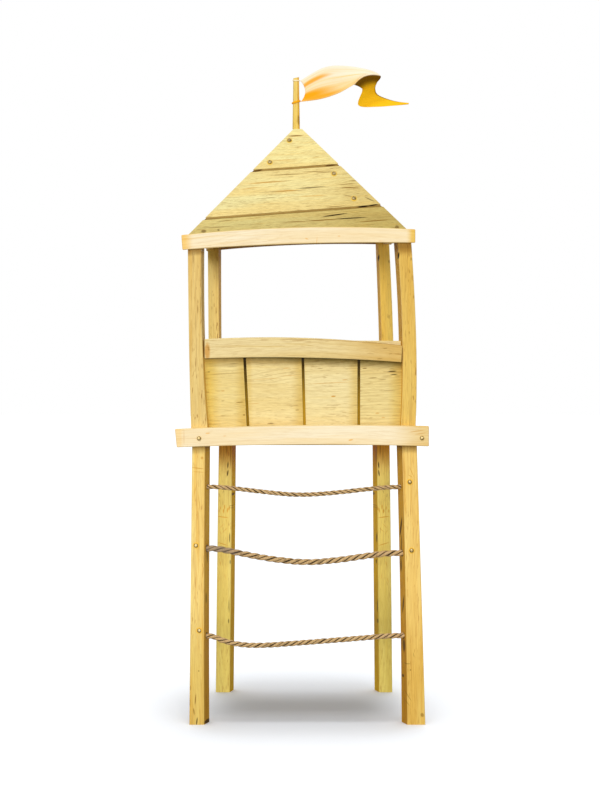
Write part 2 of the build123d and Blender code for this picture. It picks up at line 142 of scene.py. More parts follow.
# The same line with points at even steps, and the distance to each
def evenPoints(line, step):
    lengths = [0.0]
    for before, after in zip(line, line[1:]):
        lengths.append(lengths[-1] + (after - before).length)
    count = round(lengths[-1] / step)
    points, reached, index = [], [], 0
    for number in range(count + 1):
        target = lengths[-1] * number / count
        while index < len(lengths) - 2 and lengths[index + 1] < target:
            index += 1
        share = (target - lengths[index]) / (lengths[index + 1] - lengths[index])
        points.append(line[index].lerp(line[index + 1], min(max(share, 0), 1)))
        reached.append(target)
    return points, reached


def directionAt(points, index):
    ahead = points[min(index + 1, len(points) - 1)]
    behind = points[max(index - 1, 0)]
    return (ahead - behind).normalized()


# One strand's centre line, wound round the rope's line with a little wander
def strandLine(rung, points, reached, strand):
    across = Vector((0, 1, 0))
    centres, outwards = [], []
    for index, (point, along) in enumerate(zip(points, reached)):
        up = across.cross(directionAt(points, index)).normalized()
        wander = rungs["wander"] * noise.noise((along * 9, strand * 3.1, rung["diameter"] * 400))
        turn = rung["hand"] * math.tau * along / rung["lay"] + strand * math.tau / 3 + wander
        outward = across * math.cos(turn) + up * math.sin(turn)
        centres.append(point + outward * rung["diameter"] * rungs["strandOffset"])
        outwards.append(outward)
    return centres, outwards


def addStrand(mesh, uvLayer, crownLayer, rung, points, reached, strand):
    centres, outwards = strandLine(rung, points, reached, strand)
    sides = rungs["sides"]
    rings = []
    for index, (centre, outward) in enumerate(zip(centres, outwards)):
        tangent = directionAt(centres, index)
        radial = (outward - tangent * outward.dot(tangent)).normalized()
        sideways = tangent.cross(radial)
        swell = 1 + rungs["swell"] * noise.noise((reached[index] * 22, strand * 5.7, 2.0))
        radius = rung["diameter"] * rungs["strandShare"] * swell
        ring = []
        for side in range(sides):
            angle = math.tau * side / sides
            place = radial * math.cos(angle) + sideways * math.sin(angle)
            vertex = mesh.verts.new(centre + place * radius)
            vertex[crownLayer] = 0.5 + 0.5 * math.cos(angle)
            ring.append(vertex)
        rings.append(ring)
    for count, face in enumerate(skinTube(mesh, rings)):
        index, side = divmod(count, sides)
        shares = [side, side + 1, side + 1, side]
        steps = [index, index, index + 1, index + 1]
        for loop, share, step in zip(face.loops, shares, steps):
            loop[uvLayer].uv = (share / sides + strand, reached[step] * rungs["uvPerMetre"])


def layRope(rung):
    line = ropeLine(rung)
    points, reached = evenPoints(line, rungs["step"])
    mesh = bmesh.new()
    uvLayer = mesh.loops.layers.uv.new("strand")
    crownLayer = mesh.verts.layers.float.new("crown")
    for strand in range(3):
        addStrand(mesh, uvLayer, crownLayer, rung, points, reached, strand)
    bmesh.ops.recalc_face_normals(mesh, faces=mesh.faces)
    piece = linkPiece(mesh, rung["name"])
    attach(piece, "root")
    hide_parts(rung["node"])
    return piece


ropePieces = {rung["name"]: layRope(rung) for rung in rungs["rungs"]}
print("rope rungs laid:", len(ropePieces))


# Puts an object's place, turn and size into its mesh
def settle(piece, name):
    bpy.ops.object.select_all(action="DESELECT")
    piece.select_set(True)
    bpy.context.view_layer.objects.active = piece
    bpy.ops.object.transform_apply(location=True, rotation=True, scale=True)
    piece.name = name
    piece.data.name = name
    bpy.ops.object.select_all(action="DESELECT")


# Bolt heads and roof nails: a domed head on a thin collar, made once and copied
heads = {
    "boltRadius": 0.0108,
    "boltHeight": 0.0066,
    "nailRadius": 0.0112,
    "nailHeight": 0.0066,
    "collar": 1.05,
    "collarHeight": 0.0008,
    "sides": 28,
    "sunk": 0.002,
}
boltPlaces = [
    ("boltPlatformLeft", (-0.5123, -0.5775, 1.4399), (0, -1, 0)),
    ("boltPlatformRight", (0.5965, -0.5775, 1.4419), (0, -1, 0)),
    ("boltLeftLegMiddle", (-0.5302, -0.5425, 0.9019), (0, -1, 0)),
    ("boltLeftLegBottom", (-0.5145, -0.5425, 0.4745), (0, -1, 0)),
    ("boltRightLegTop", (0.5378, -0.5425, 1.2199), (0, -1, 0)),
    ("boltRightLegMiddle", (0.5475, -0.5425, 0.8768), (0, -1, 0)),
    ("boltRearBoardLeft", (-0.4150, 0.5775, 1.4399), (0, 1, 0)),
    ("boltRearBoardRight", (0.4400, 0.5775, 1.4419), (0, 1, 0)),
]


# A domed head of the given size with its back at the origin, facing up
def domedHead(radius, height):
    bpy.ops.mesh.primitive_cylinder_add(vertices=heads["sides"], radius=radius, depth=height)
    head = bpy.context.object
    bpy.ops.object.mode_set(mode="EDIT")
    shaped = bmesh.from_edit_mesh(head.data)
    for face in shaped.faces:
        face.select_set(face.normal.z > 0.9)
    bpy.ops.mesh.bevel(offset=height * 0.9, segments=7, profile=0.5)
    bpy.ops.mesh.select_all(action="DESELECT")
    shaped = bmesh.from_edit_mesh(head.data)
    shaped.faces.ensure_lookup_table()
    low = min(vertex.co.z for vertex in shaped.verts)
    for face in shaped.faces:
        face.select_set(all(vertex.co.z < low + 1e-6 for vertex in face.verts))
    bpy.ops.mesh.extrude_region_move(
        TRANSFORM_OT_translate={"value": (0, 0, -heads["collarHeight"] / 2)})
    bpy.ops.transform.resize(value=(heads["collar"], heads["collar"], 1))
    bpy.ops.mesh.extrude_region_move(
        TRANSFORM_OT_translate={"value": (0, 0, -heads["collarHeight"] / 2 - heads["sunk"])})
    bpy.ops.object.mode_set(mode="OBJECT")
    bpy.ops.object.shade_smooth_by_angle(angle=math.radians(40))
    head.location.z = height / 2 + heads["collarHeight"]
    settle(head, "headPattern")
    return head


def placeHead(pattern, name, place, facing):
    head = bpy.data.objects.new(name, pattern.data.copy())
    bpy.context.collection.objects.link(head)
    turn = Vector((0, 0, 1)).rotation_difference(Vector(facing).normalized())
    head.matrix_world = Matrix.Translation(place) @ turn.to_matrix().to_4x4()
    settle(head, name)
    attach(head, "root")
    return head


# Nails stand in the roof boards, placed by shares up the hip and along the eave. Seams
# cross each hip at shares from its foot.
roof = {
    "apex": (-0.022, 0, 3.032),
    "corners": [(-0.5915, -0.5425, 2.425), (0.5515, -0.5425, 2.449),
                (0.476, 0.5425, 2.4474), (-0.513, 0.5425, 2.4266)],
    "seams": [(0.167, 0.58), (0.252, 0.618), (0.19, 0.6), (0.24, 0.57)],
    "nails": [(0.8574, 0.0338), (0.6636, 0.0435), (0.5496, 0.3861), (0.3271, 0.5836)],
    "sideNails": [(0.8574, 0.07), (0.6636, 0.17), (0.5496, 0.225), (0.3271, 0.3365)],
}


# A roof face: the feet of its two hips, the apex, and the way it looks
def roofFace(side):
    start, end = (Vector(roof["corners"][(side + turn) % 4]) for turn in (0, 1))
    apex = Vector(roof["apex"])
    return start, end, apex, (end - start).cross(apex - start).normalized()


def roofNails():
    found = []
    for side in range(4):
        start, end, apex, facing = roofFace(side)
        for number, (up, along) in enumerate(roof["sideNails" if side % 2 else "nails"]):
            place = start + (apex - start) * up + (end - start) * along
            found.append((f"roofNail{side + 1}{number + 1}", place, facing))
    return found


boltPattern = domedHead(heads["boltRadius"], heads["boltHeight"])
nailPattern = domedHead(heads["nailRadius"], heads["nailHeight"])
metalHeads = [placeHead(boltPattern, *row) for row in boltPlaces]
metalHeads += [placeHead(nailPattern, *row) for row in roofNails()]
for pattern in (boltPattern, nailPattern):
    bpy.data.objects.remove(pattern)
print("bolt and nail heads placed:", len(metalHeads))

# Flag: lines that cross the cloth from its upper to its lower edge, hoist to tip, each with
# how far its middle bulges
flagCloth = {
    "lines": [
        ((-0.0097, 0, 3.259), (-0.0079, 0, 3.150), (0, 0, 0)),
        ((0.109, -0.025, 3.323), (0.095, -0.025, 3.162), (0, 0, 0)),
        ((0.210, -0.060, 3.331), (0.187, -0.060, 3.189), (0, 0, 0)),
        ((0.339, -0.095, 3.308), (0.256, -0.095, 3.225), (-0.003, 0, 0.010)),
        ((0.403, -0.115, 3.274), (0.269, -0.115, 3.228), (-0.009, 0, 0.022)),
        ((0.386, -0.060, 3.243), (0.303, -0.060, 3.218), (-0.002, 0, 0.008)),
        ((0.379, -0.020, 3.216), (0.311, -0.020, 3.204), (0, 0, 0)),
        ((0.397, 0.010, 3.186), (0.293, 0.010, 3.133), (0, 0, 0)),
        ((0.474, -0.010, 3.155), (0.388, -0.010, 3.124), (0, 0, 0)),
        ((0.553, -0.020, 3.143), (0.551, -0.020, 3.136), (0, 0, 0)),
    ],
    "hoistCurve": 0.026,
    "stepsPerLine": 12,
    "stepsAcross": 24,
    "thickness": 0.0013,
    "ripple": 0.0022,
}


# A smooth point on the row of points, at a place counted in points
def throughPoints(row, place):
    index = min(int(place), len(row) - 2)
    t = place - index
    p0, p1 = row[max(index - 1, 0)], row[index]
    p2, p3 = row[index + 1], row[min(index + 2, len(row) - 1)]
    return 0.5 * ((2 * p1) + (p2 - p0) * t + (2 * p0 - 5 * p1 + 4 * p2 - p3) * t ** 2
                  + (3 * p1 - p0 - 3 * p2 + p3) * t ** 3)


def flagPoint(uppers, lowers, bulges, place, share):
    point = throughPoints(uppers, place).lerp(throughPoints(lowers, place), share)
    point += throughPoints(bulges, place) * 4 * share * (1 - share)
    toHoist = max(0.0, 1 - place)
    point.x += flagCloth["hoistCurve"] * math.sin(math.pi * share) ** 0.8 * toHoist ** 2
    ripple = noise.noise((place * 0.9, share * 3.4, 7.0)) + 0.5 * noise.noise(
        (place * 2.1, share * 7.5, 3.0))
    point.y += flagCloth["ripple"] * ripple * min(place, 1)
    return point


def sewFlag():
    uppers, lowers, bulges = ([Vector(line[part]) for line in flagCloth["lines"]]
                              for part in range(3))
    across = flagCloth["stepsAcross"]
    steps = flagCloth["stepsPerLine"] * (len(uppers) - 1)
    mesh = bmesh.new()
    uvLayer = mesh.loops.layers.uv.new("cloth")
    rows = []
    for step in range(steps + 1):
        place = step / flagCloth["stepsPerLine"]
        rows.append([mesh.verts.new(flagPoint(uppers, lowers, bulges, place, number / across))
                     for number in range(across + 1)])
    for step in range(steps):
        for number in range(across):
            face = mesh.faces.new([rows[step][number], rows[step + 1][number],
                                   rows[step + 1][number + 1], rows[step][number + 1]])
            face.smooth = True
            uvs = [(step, number), (step + 1, number), (step + 1, number + 1),
                   (step, number + 1)]
            for loop, (u, v) in zip(face.loops, uvs):
                loop[uvLayer].uv = (u / steps, v / across)
    area = sum(face.calc_area() for face in mesh.faces)
    return linkPiece(mesh, "flagSheet"), area


def thicken(piece, thickness):
    bpy.context.view_layer.objects.active = piece
    solidify = piece.modifiers.new("thickness", "SOLIDIFY")
    solidify.thickness = thickness
    solidify.offset = 0
    bpy.ops.object.modifier_apply(modifier=solidify.name)


flagPiece, flagArea = sewFlag()
thicken(flagPiece, flagCloth["thickness"])
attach(flagPiece, "root")
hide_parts("flag")
print("flag sewn, cloth area", round(flagArea, 4), "square metres")

# Ties: each corner of the cloth is rolled and wound once and a half round the pole, in a
# ring that leans down to the left
ties = {
    "poleX": -0.030,
    "rows": [
        {"height": 3.259, "poleRadius": 0.0151, "roll": 0.0024, "drop": 0.0030, "tilt": 0},
        {"height": 3.149, "poleRadius": 0.0168, "roll": 0.0042, "drop": 0.0030,
         "tilt": 0.0062},
    ],
    "turns": 1.5,
    "sides": 10,
    "steps": 54,
}


def windTies():
    mesh = bmesh.new()
    for number, row in enumerate(ties["rows"]):
        rings = []
        for step in range(ties["steps"] + 1):
            share = step / ties["steps"]
            turn = -math.tau * ties["turns"] * share
            radius = row["poleRadius"] + row["roll"] * (0.75 + 0.1 * math.sin(turn * 3))
            height = row["height"] - row["drop"] * (share - 0.5) + row["tilt"] * math.cos(turn)
            radial = Vector((math.cos(turn), math.sin(turn), 0))
            centre = Vector((ties["poleX"], 0, height)) + radial * radius
            swell = 0.35 + 0.65 * math.sin(math.pi * min(max(share * 1.04 - 0.02, 0), 1)) ** 0.35
            ring = []
            for side in range(ties["sides"]):
                angle = math.tau * side / ties["sides"]
                twist = 1 + 0.12 * math.cos(3 * angle + turn * 5)
                flat = radial * math.cos(angle) * 0.8 + Vector((0, 0, 1.25)) * math.sin(angle)
                ring.append(mesh.verts.new(centre + flat * row["roll"] * swell * twist))
            rings.append(ring)
        skinTube(mesh, rings)
    bmesh.ops.recalc_face_normals(mesh, faces=mesh.faces)
    piece = linkPiece(mesh, "flagTies")
    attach(piece, "root")
    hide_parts("flag_ties")
    return piece


tiePiece = windTies()
print("ties wound")


# Shader helpers: each returns the socket that the next step reads
def feed(tree, socket, source):
    if hasattr(source, "is_output"):
        tree.links.new(source, socket)
    elif isinstance(source, (tuple, list)) and len(source) == 3 and socket.type == "RGBA":
        socket.default_value = (*source, 1)
    else:
        socket.default_value = source


def maths(tree, operation, *sources):
    made = tree.nodes.new("ShaderNodeMath")
    made.operation = operation
    for socket, source in zip(made.inputs, sources):
        feed(tree, socket, source)
    return made.outputs[0]


def sineOf(tree, value, rate):
    return maths(tree, "SINE", maths(tree, "MULTIPLY", value, rate))


def vectors(tree, operation, *sources, scale=None):
    made = tree.nodes.new("ShaderNodeVectorMath")
    made.operation = operation
    for socket, source in zip(made.inputs, sources):
        feed(tree, socket, source)
    if scale is not None:
        feed(tree, made.inputs["Scale"], scale)
    return made.outputs["Value" if operation in ("LENGTH", "DOT_PRODUCT") else "Vector"]


def separate(tree, source):
    made = tree.nodes.new("ShaderNodeSeparateXYZ")
    tree.links.new(source, made.inputs[0])
    return made.outputs


def combine(tree, **parts):
    made = tree.nodes.new("ShaderNodeCombineXYZ")
    for axis, source in parts.items():
        tree.links.new(source, made.inputs[axis])
    return made.outputs[0]


def fade(tree, value, start, end, low=0.0, high=1.0):
    made = tree.nodes.new("ShaderNodeMapRange")
    made.interpolation_type = "SMOOTHSTEP"
    for name, source in (("Value", value), ("From Min", start), ("From Max", end),
                         ("To Min", low), ("To Max", high)):
        feed(tree, made.inputs[name], source)
    return made.outputs["Result"]


def blend(tree, factor, first, second, kind="MIX"):
    made = tree.nodes.new("ShaderNodeMix")
    made.data_type = "RGBA"
    made.blend_type = kind
    feed(tree, made.inputs[0], factor)
    sockets = [socket for socket in made.inputs if socket.type == "RGBA"]
    feed(tree, sockets[0], first)
    feed(tree, sockets[1], second)
    return [socket for socket in made.outputs if socket.type == "RGBA"][0]


# Lays a shade over a tone, as far as a mask and an amount say
def tint(tree, tone, mask, amount, shade, kind="MIX"):
    return blend(tree, maths(tree, "MULTIPLY", mask, amount), tone, shade, kind)


def grainNoise(tree, vector, stretch, detail, roughness=0.55, distortion=0.0, output="Fac"):
    made = tree.nodes.new("ShaderNodeTexNoise")
    feed(tree, made.inputs["Vector"], vectors(tree, "MULTIPLY", vector, stretch))
    made.inputs["Scale"].default_value = 1
    made.inputs["Detail"].default_value = detail
    made.inputs["Roughness"].default_value = roughness
    made.inputs["Distortion"].default_value = distortion
    return made.outputs[output]


# Studio: soft even light, a low front lamp, a higher one from the left, two that reach the
# rear timbers under the platform, and lamps above that light only the floor, so that the
# tower stands in the middle of its own shadow
studio = {
    "ambient": 0.42,
    "lamps": [
        {"name": "frontLamp", "strength": 1.45, "elevation": 7, "azimuth": 0, "angle": 9},
        {"name": "highLamp", "strength": 0.95, "elevation": 46, "azimuth": -24, "angle": 10},
        {"name": "rearLamp", "strength": 1.55, "elevation": 34, "azimuth": 186, "angle": 30},
    ],
    "innerLamps": [
        {"name": "innerLampLeft", "strength": 0.46, "elevation": 5, "azimuth": -40,
         "angle": 20},
        {"name": "innerLampRight", "strength": 0.46, "elevation": 5, "azimuth": 40,
         "angle": 20},
    ],
    "innerTimbers": ["rear_left_leg", "rear_right_leg", "rear_left_post", "rear_right_post"],
    "floorLamps": [
        {"name": "floorLampRear", "strength": 0.98, "tilt": (12, 0), "angle": 17},
        {"name": "floorLampFront", "strength": 0.84, "tilt": (-11, 0), "angle": 17},
        {"name": "floorLampLeft", "strength": 0.36, "tilt": (0, 4), "angle": 17},
        {"name": "floorLampRight", "strength": 0.36, "tilt": (0, -4), "angle": 17},
    ],
    "floorSize": 60,
    "floorSeen": (0.9, 0.93, 0.975),
    "floorBounce": 0.3,
}


# Soft light from all sides, and plain white for the camera and for mirrored rays
def addStudio():
    world = bpy.data.worlds.new("studioWorld")
    bpy.context.scene.world = world
    world.use_nodes = True
    tree = world.node_tree
    tree.nodes.clear()
    path = tree.nodes.new("ShaderNodeLightPath").outputs
    seen = maths(tree, "MAXIMUM", path["Is Camera Ray"], path["Is Glossy Ray"])
    seen = maths(tree, "MAXIMUM", seen, path["Is Transmission Ray"])
    mix = tree.nodes.new("ShaderNodeMixShader")
    tree.links.new(seen, mix.inputs[0])
    for index, strength in ((1, studio["ambient"]), (2, 1)):
        light = tree.nodes.new("ShaderNodeBackground")
        light.inputs["Color"].default_value = (1, 1, 1, 1)
        light.inputs["Strength"].default_value = strength
        tree.links.new(light.outputs[0], mix.inputs[index])
    out = tree.nodes.new("ShaderNodeOutputWorld")
    tree.links.new(mix.outputs[0], out.inputs["Surface"])


def addFloor():
    bpy.ops.mesh.primitive_plane_add(size=studio["floorSize"], location=(0, 0, 0))
    floor = bpy.context.object
    settle(floor, "floor")
    paint = bpy.data.materials.new("studioFloor")
    paint.use_nodes = True
    tree = paint.node_tree
    tree.nodes.clear()
    path = tree.nodes.new("ShaderNodeLightPath").outputs
    matt = tree.nodes.new("ShaderNodeBsdfDiffuse")
    tone = blend(tree, path["Is Camera Ray"], (studio["floorBounce"],) * 3, studio["floorSeen"])
    tree.links.new(tone, matt.inputs["Color"])
    out = tree.nodes.new("ShaderNodeOutputMaterial")
    tree.links.new(matt.outputs[0], out.inputs["Surface"])
    floor.data.materials.append(paint)
    return floor


# A sun lamp that comes from the given side and lights only the given collection
def addLamp(row, towards, lit):
    bpy.ops.object.light_add(type="SUN", location=(0, 0, 8))
    lamp = bpy.context.object
    lamp.name = row["name"]
    lamp.data.energy = row["strength"]
    lamp.data.angle = math.radians(row["angle"])
    lamp.rotation_euler = Vector(towards).to_track_quat("Z", "Y").to_euler()
    lamp.light_linking.receiver_collection = lit


def collect(name, pieces):
    made = bpy.data.collections.new(name)
    for piece in pieces:
        made.objects.link(piece)
    return made


def lightStudio(floor):
    onFloor = collect("litFloor", [floor])
    onTower = collect("litTower", [piece for piece in bpy.context.scene.objects
                                   if piece.type == "MESH" and piece != floor])
    onInner = collect("litInner", [cadNodes[node] for node in studio["innerTimbers"]])
    for rows, lit in ((studio["lamps"], onTower), (studio["innerLamps"], onInner)):
        for row in rows:
            up, side = math.radians(row["elevation"]), math.radians(row["azimuth"])
            addLamp(row, (math.sin(side) * math.cos(up), -math.cos(side) * math.cos(up),
                          math.sin(up)), lit)
    for row in studio["floorLamps"]:
        back, side = (math.tan(math.radians(turn)) for turn in row["tilt"])
        addLamp(row, (side, -back, 1), onFloor)


addStudio()
studioFloor = addFloor()
lightStudio(studioFloor)
bpy.context.scene.view_settings.view_transform = "Standard"
print("studio lit")

# Sockets by how many numbers their values hold
socketKinds = {1: "NodeSocketFloat", 3: "NodeSocketVector", 4: "NodeSocketColor"}
origin = (0, 0, 0)


# A node group with an input for each value and outputs that hold so many numbers
def startGroup(name, outputs, **inputs):
    tree = bpy.data.node_groups.new(name, "ShaderNodeTree")
    for title, value in inputs.items():
        kind = socketKinds[len(value) if isinstance(value, tuple) else 1]
        socket = tree.interface.new_socket(title, in_out="INPUT", socket_type=kind)
        socket.default_value = value
    for title, size in outputs.items():
        tree.interface.new_socket(title, in_out="OUTPUT", socket_type=socketKinds[size])
    return tree, tree.nodes.new("NodeGroupInput").outputs, tree.nodes.new("NodeGroupOutput")


# Takes a board's bow out: heights are counted from its curve, given as centre, slope, bend
def straighten(tree, place, bow):
    along, shape = separate(tree, place), separate(tree, bow)
    out = maths(tree, "SUBTRACT", along["X"], shape["X"])
    rise = maths(tree, "MULTIPLY_ADD", shape["Z"], out, shape["Y"])
    rise = maths(tree, "MULTIPLY", rise, out)
    level = maths(tree, "SUBTRACT", along["Z"], rise)
    return combine(tree, X=along["X"], Y=along["Y"], Z=level)


# Parts of the grain: how far its noise is stretched, its detail, roughness and distortion,
# and between which values it fades in
grainParts = {
    "figure": ((0.8, 11, 11), 2, 0.55, 0, 0.36, 0.66),
    "streak": ((1.7, 62, 62), 4, 0.6, 0.3, 0.5, 0.72),
    "finer": ((3.2, 170, 170), 3, 0.6, 0, 0.52, 0.7),
    "fibre": ((11, 520, 520), 2, 0.6, 0, 0.42, 0.66),
    "dash": ((19, 135, 135), 1.5, 0.55, 0, 0.6, 0.7),
    "dashGroup": ((2.5, 14, 14), 2, 0.55, 0, 0.4, 0.6, 0.35),
}
woodShape = {
    "wander": (1.6, 6, 6), "knotStretch": (5.2, 15, 15), "knotPush": 0.012,
    "ringStretch": (0.9, 5, 5), "ringLean": 0.6, "ringWander": 0.11, "ringRate": 620,
    "heart": (0, 0.035, 0.11), "arcWander": 0.012, "arcRate": 1500,
    "roughness": 0.52, "streakRoughness": 0.16,
}


def grainPart(tree, vector, name):
    stretch, detail, roughness, distortion, *ends = grainParts[name]
    return fade(tree, grainNoise(tree, vector, stretch, detail, roughness, distortion), *ends)


# Sawn wood. X runs along the grain, in metres.
def buildWood():
    tree, given, out = startGroup(
        "sawnWood", {"Color": 4, "Height": 1, "Roughness": 1}, Vector=origin, Normal=origin,
        Pale=(0.8, 0.6, 0.3, 1), Warm=(0.7, 0.5, 0.2, 1), Dark=(0.4, 0.25, 0.08, 1),
        Edge=(1, 0.9, 0.6, 1), Figure=0.5, Streaks=0.5, Rings=0.3, Fibres=0.4, Dashes=0.3,
        Knots=0.1, Bend=0.01, Wear=0.4, Bow=origin)
    straight = straighten(tree, given["Vector"], given["Bow"])
    wander = grainNoise(tree, straight, woodShape["wander"], 2, output="Color")
    centred = vectors(tree, "SUBTRACT", wander, (0.5, 0.5, 0.5))
    bending = vectors(tree, "SCALE", vectors(tree, "MULTIPLY", centred, (0, 1, 1)),
                      scale=given["Bend"])
    bent = vectors(tree, "ADD", straight, bending)

    knots = tree.nodes.new("ShaderNodeTexVoronoi")
    feed(tree, knots.inputs["Vector"],
         vectors(tree, "MULTIPLY", bent, woodShape["knotStretch"]))
    knots.inputs["Scale"].default_value = 1
    pick = tree.nodes.new("ShaderNodeSeparateColor")
    tree.links.new(knots.outputs["Color"], pick.inputs[0])
    chosen = maths(tree, "LESS_THAN", pick.outputs[0], given["Knots"])
    near = knots.outputs["Distance"]
    core = maths(tree, "MULTIPLY", fade(tree, near, 0.17, 0.06), chosen)
    swirl = maths(tree, "MULTIPLY", fade(tree, near, 0.5, 0.08), chosen)
    push = maths(tree, "MULTIPLY", swirl, woodShape["knotPush"])
    swept = vectors(tree, "ADD", bent, vectors(tree, "SCALE", (0, 1, 1), scale=push))

    figure = grainPart(tree, bent, "figure")
    streak, finer, fibre, dash, dashGroup = (
        grainPart(tree, swept, name)
        for name in ("streak", "finer", "fibre", "dash", "dashGroup"))
    dash = maths(tree, "MULTIPLY", dash, dashGroup)
    ringNoise = grainNoise(tree, bent, woodShape["ringStretch"], 2)
    parts = separate(tree, swept)
    lane = maths(tree, "MULTIPLY_ADD", parts["Z"], woodShape["ringLean"], parts["Y"])
    lane = maths(tree, "MULTIPLY_ADD", ringNoise, woodShape["ringWander"], lane)
    ring = fade(tree, sineOf(tree, lane, woodShape["ringRate"]), 0.35, 1)
    ring = maths(tree, "MULTIPLY", ring, fade(tree, ringNoise, 0.4, 0.6))

    tone = given["Pale"]
    for mask, amount, shade in (
            (figure, given["Figure"], "Warm"), (streak, given["Streaks"], "Warm"),
            (finer, maths(tree, "MULTIPLY", given["Streaks"], 0.42), "Dark"),
            (ring, given["Rings"], "Dark"), (fibre, given["Fibres"], "Dark"),
            (dash, given["Dashes"], "Dark"), (swirl, 0.4, "Warm"), (core, 0.85, "Dark")):
        tone = tint(tree, tone, mask, amount, given[shade])

    # End grain: arcs about the heart of the log, browner than the sides
    facing = separate(tree, vectors(tree, "ABSOLUTE", given["Normal"]))
    ends = fade(tree, facing["X"], 0.75, 0.95)
    fromHeart = vectors(tree, "MULTIPLY_ADD", given["Vector"], (0, 1, 1), woodShape["heart"])
    radius = maths(tree, "MULTIPLY_ADD", ringNoise, woodShape["arcWander"],
                   vectors(tree, "LENGTH", fromHeart))
    arcs = fade(tree, sineOf(tree, radius, woodShape["arcRate"]), -0.2, 1)
    grain = blend(tree, maths(tree, "MULTIPLY_ADD", arcs, 0.5, 0.2), given["Warm"],
                  given["Dark"])
    tone = blend(tree, ends, tone, grain)

    # Eased edges are lighter: a painted highlight
    widest = maths(tree, "MAXIMUM", facing["X"], facing["Y"])
    widest = maths(tree, "MAXIMUM", widest, facing["Z"])
    tone = tint(tree, tone, fade(tree, widest, 0.86, 0.74), given["Wear"], given["Edge"])

    height = 1.0
    for mask, depth in ((finer, 0.5), (fibre, 0.5), (ring, 0.35), (dash, 0.4), (core, 0.5)):
        height = maths(tree, "MULTIPLY_ADD", mask, -depth, height)
    tree.links.new(tone, out.inputs["Color"])
    tree.links.new(height, out.inputs["Height"])
    rough = maths(tree, "MULTIPLY_ADD", streak, woodShape["streakRoughness"],
                  woodShape["roughness"])
    tree.links.new(rough, out.inputs["Roughness"])
    return tree


# Makes the edge of a mask ragged
def fray(tree, given, stretch, value):
    rough = maths(tree, "SUBTRACT", grainNoise(tree, given["Vector"], stretch, 3), 0.5)
    return maths(tree, "MULTIPLY_ADD", rough, given["Ragged"], value)


# A soft-edged egg-shaped mark round a point, turned in the plane of the front: 1 in the
# middle, 0 outside
def buildMark():
    tree, given, out = startGroup("mark", {"Mask": 1}, Vector=origin, Centre=origin,
                                  Size=(0.01, 0.01, 0.01), Core=0.5, Ragged=0.25, Turn=0)
    upright = tree.nodes.new("ShaderNodeVectorRotate")
    upright.rotation_type = "Y_AXIS"
    feed(tree, upright.inputs["Vector"],
         vectors(tree, "SUBTRACT", given["Vector"], given["Centre"]))
    feed(tree, upright.inputs["Angle"], given["Turn"])
    reach = vectors(tree, "LENGTH",
                    vectors(tree, "DIVIDE", upright.outputs[0], given["Size"]))
    reach = fray(tree, given, (150, 150, 60), reach)
    tree.links.new(fade(tree, reach, 1, given["Core"]), out.inputs["Mask"])
    return tree


# A band along a direction, for painted shade and for changes of tone: 0 at the start, 1 at the
# end
def buildBand():
    tree, given, out = startGroup("band", {"Mask": 1}, Vector=origin, Direction=(0, 0, 1),
                                  Start=0, End=1, Ragged=0.01)
    along = vectors(tree, "DOT_PRODUCT", given["Vector"], given["Direction"])
    along = fray(tree, given, (40, 40, 40), along)
    tree.links.new(fade(tree, along, given["Start"], given["End"]), out.inputs["Mask"])
    return tree


# Boards of one node differ a little: steps across it, each with its own tone
def buildBoards():
    tree, given, out = startGroup("boardTones", {"Tone": 1}, Vector=origin,
                                  Direction=(1, 0, 0), Offset=0, Pitch=0.12)
    along = vectors(tree, "DOT_PRODUCT", given["Vector"], given["Direction"])
    along = maths(tree, "SUBTRACT", along, given["Offset"])
    random = tree.nodes.new("ShaderNodeTexWhiteNoise")
    random.noise_dimensions = "1D"
    feed(tree, random.inputs["W"],
         maths(tree, "FLOOR", maths(tree, "DIVIDE", along, given["Pitch"])))
    tree.links.new(random.outputs["Value"], out.inputs["Tone"])
    return tree


shadowLineTaper = 0.03


# A painted shadow line that follows a board's bow, at a height that may climb along it,
# between two ends
def buildShadowLine():
    tree, given, out = startGroup("shadowLine", {"Mask": 1}, Vector=origin, Bow=origin, Height=0,
                                  Climb=0, Width=0.004, From=-1, To=1)
    place = separate(tree, straighten(tree, given["Vector"], given["Bow"]))
    rough = grainNoise(tree, given["Vector"], (18, 18, 90), 3)
    line = maths(tree, "MULTIPLY_ADD", place["X"], given["Climb"], given["Height"])
    away = maths(tree, "ABSOLUTE", maths(tree, "SUBTRACT", place["Z"], line))
    width = maths(tree, "MULTIPLY", given["Width"], maths(tree, "ADD", rough, 0.5))
    mask = fade(tree, maths(tree, "DIVIDE", away, width), 1, 0.3)
    for end, operation in (("From", "ADD"), ("To", "SUBTRACT")):
        inside = maths(tree, operation, given[end], shadowLineTaper)
        mask = maths(tree, "MULTIPLY", mask, fade(tree, place["X"], given[end], inside))
    tree.links.new(mask, out.inputs["Mask"])
    return tree


# A soft-edged stripe across a direction, at a distance along it
def buildStripe():
    tree, given, out = startGroup("stripe", {"Mask": 1}, Vector=origin, Direction=(0, 0, 1),
                                  Middle=0, Half=0.01, Soft=0.3)
    along = vectors(tree, "DOT_PRODUCT", given["Vector"], given["Direction"])
    away = maths(tree, "ABSOLUTE", maths(tree, "SUBTRACT", along, given["Middle"]))
    share = maths(tree, "DIVIDE", away, given["Half"])
    tree.links.new(fade(tree, share, maths(tree, "ADD", given["Soft"], 1),
                        maths(tree, "SUBTRACT", 1, given["Soft"])), out.inputs["Mask"])
    return tree


woodGroup, markGroup, bandGroup = buildWood(), buildMark(), buildBand()
stripeGroup, shadowLineGroup, boardGroup = buildStripe(), buildShadowLine(), buildBoards()


def useGroup(tree, group, **sources):
    made = tree.nodes.new("ShaderNodeGroup")
    made.node_tree = group
    for title, source in sources.items():
        feed(tree, made.inputs[title], source)
    return made.outputs


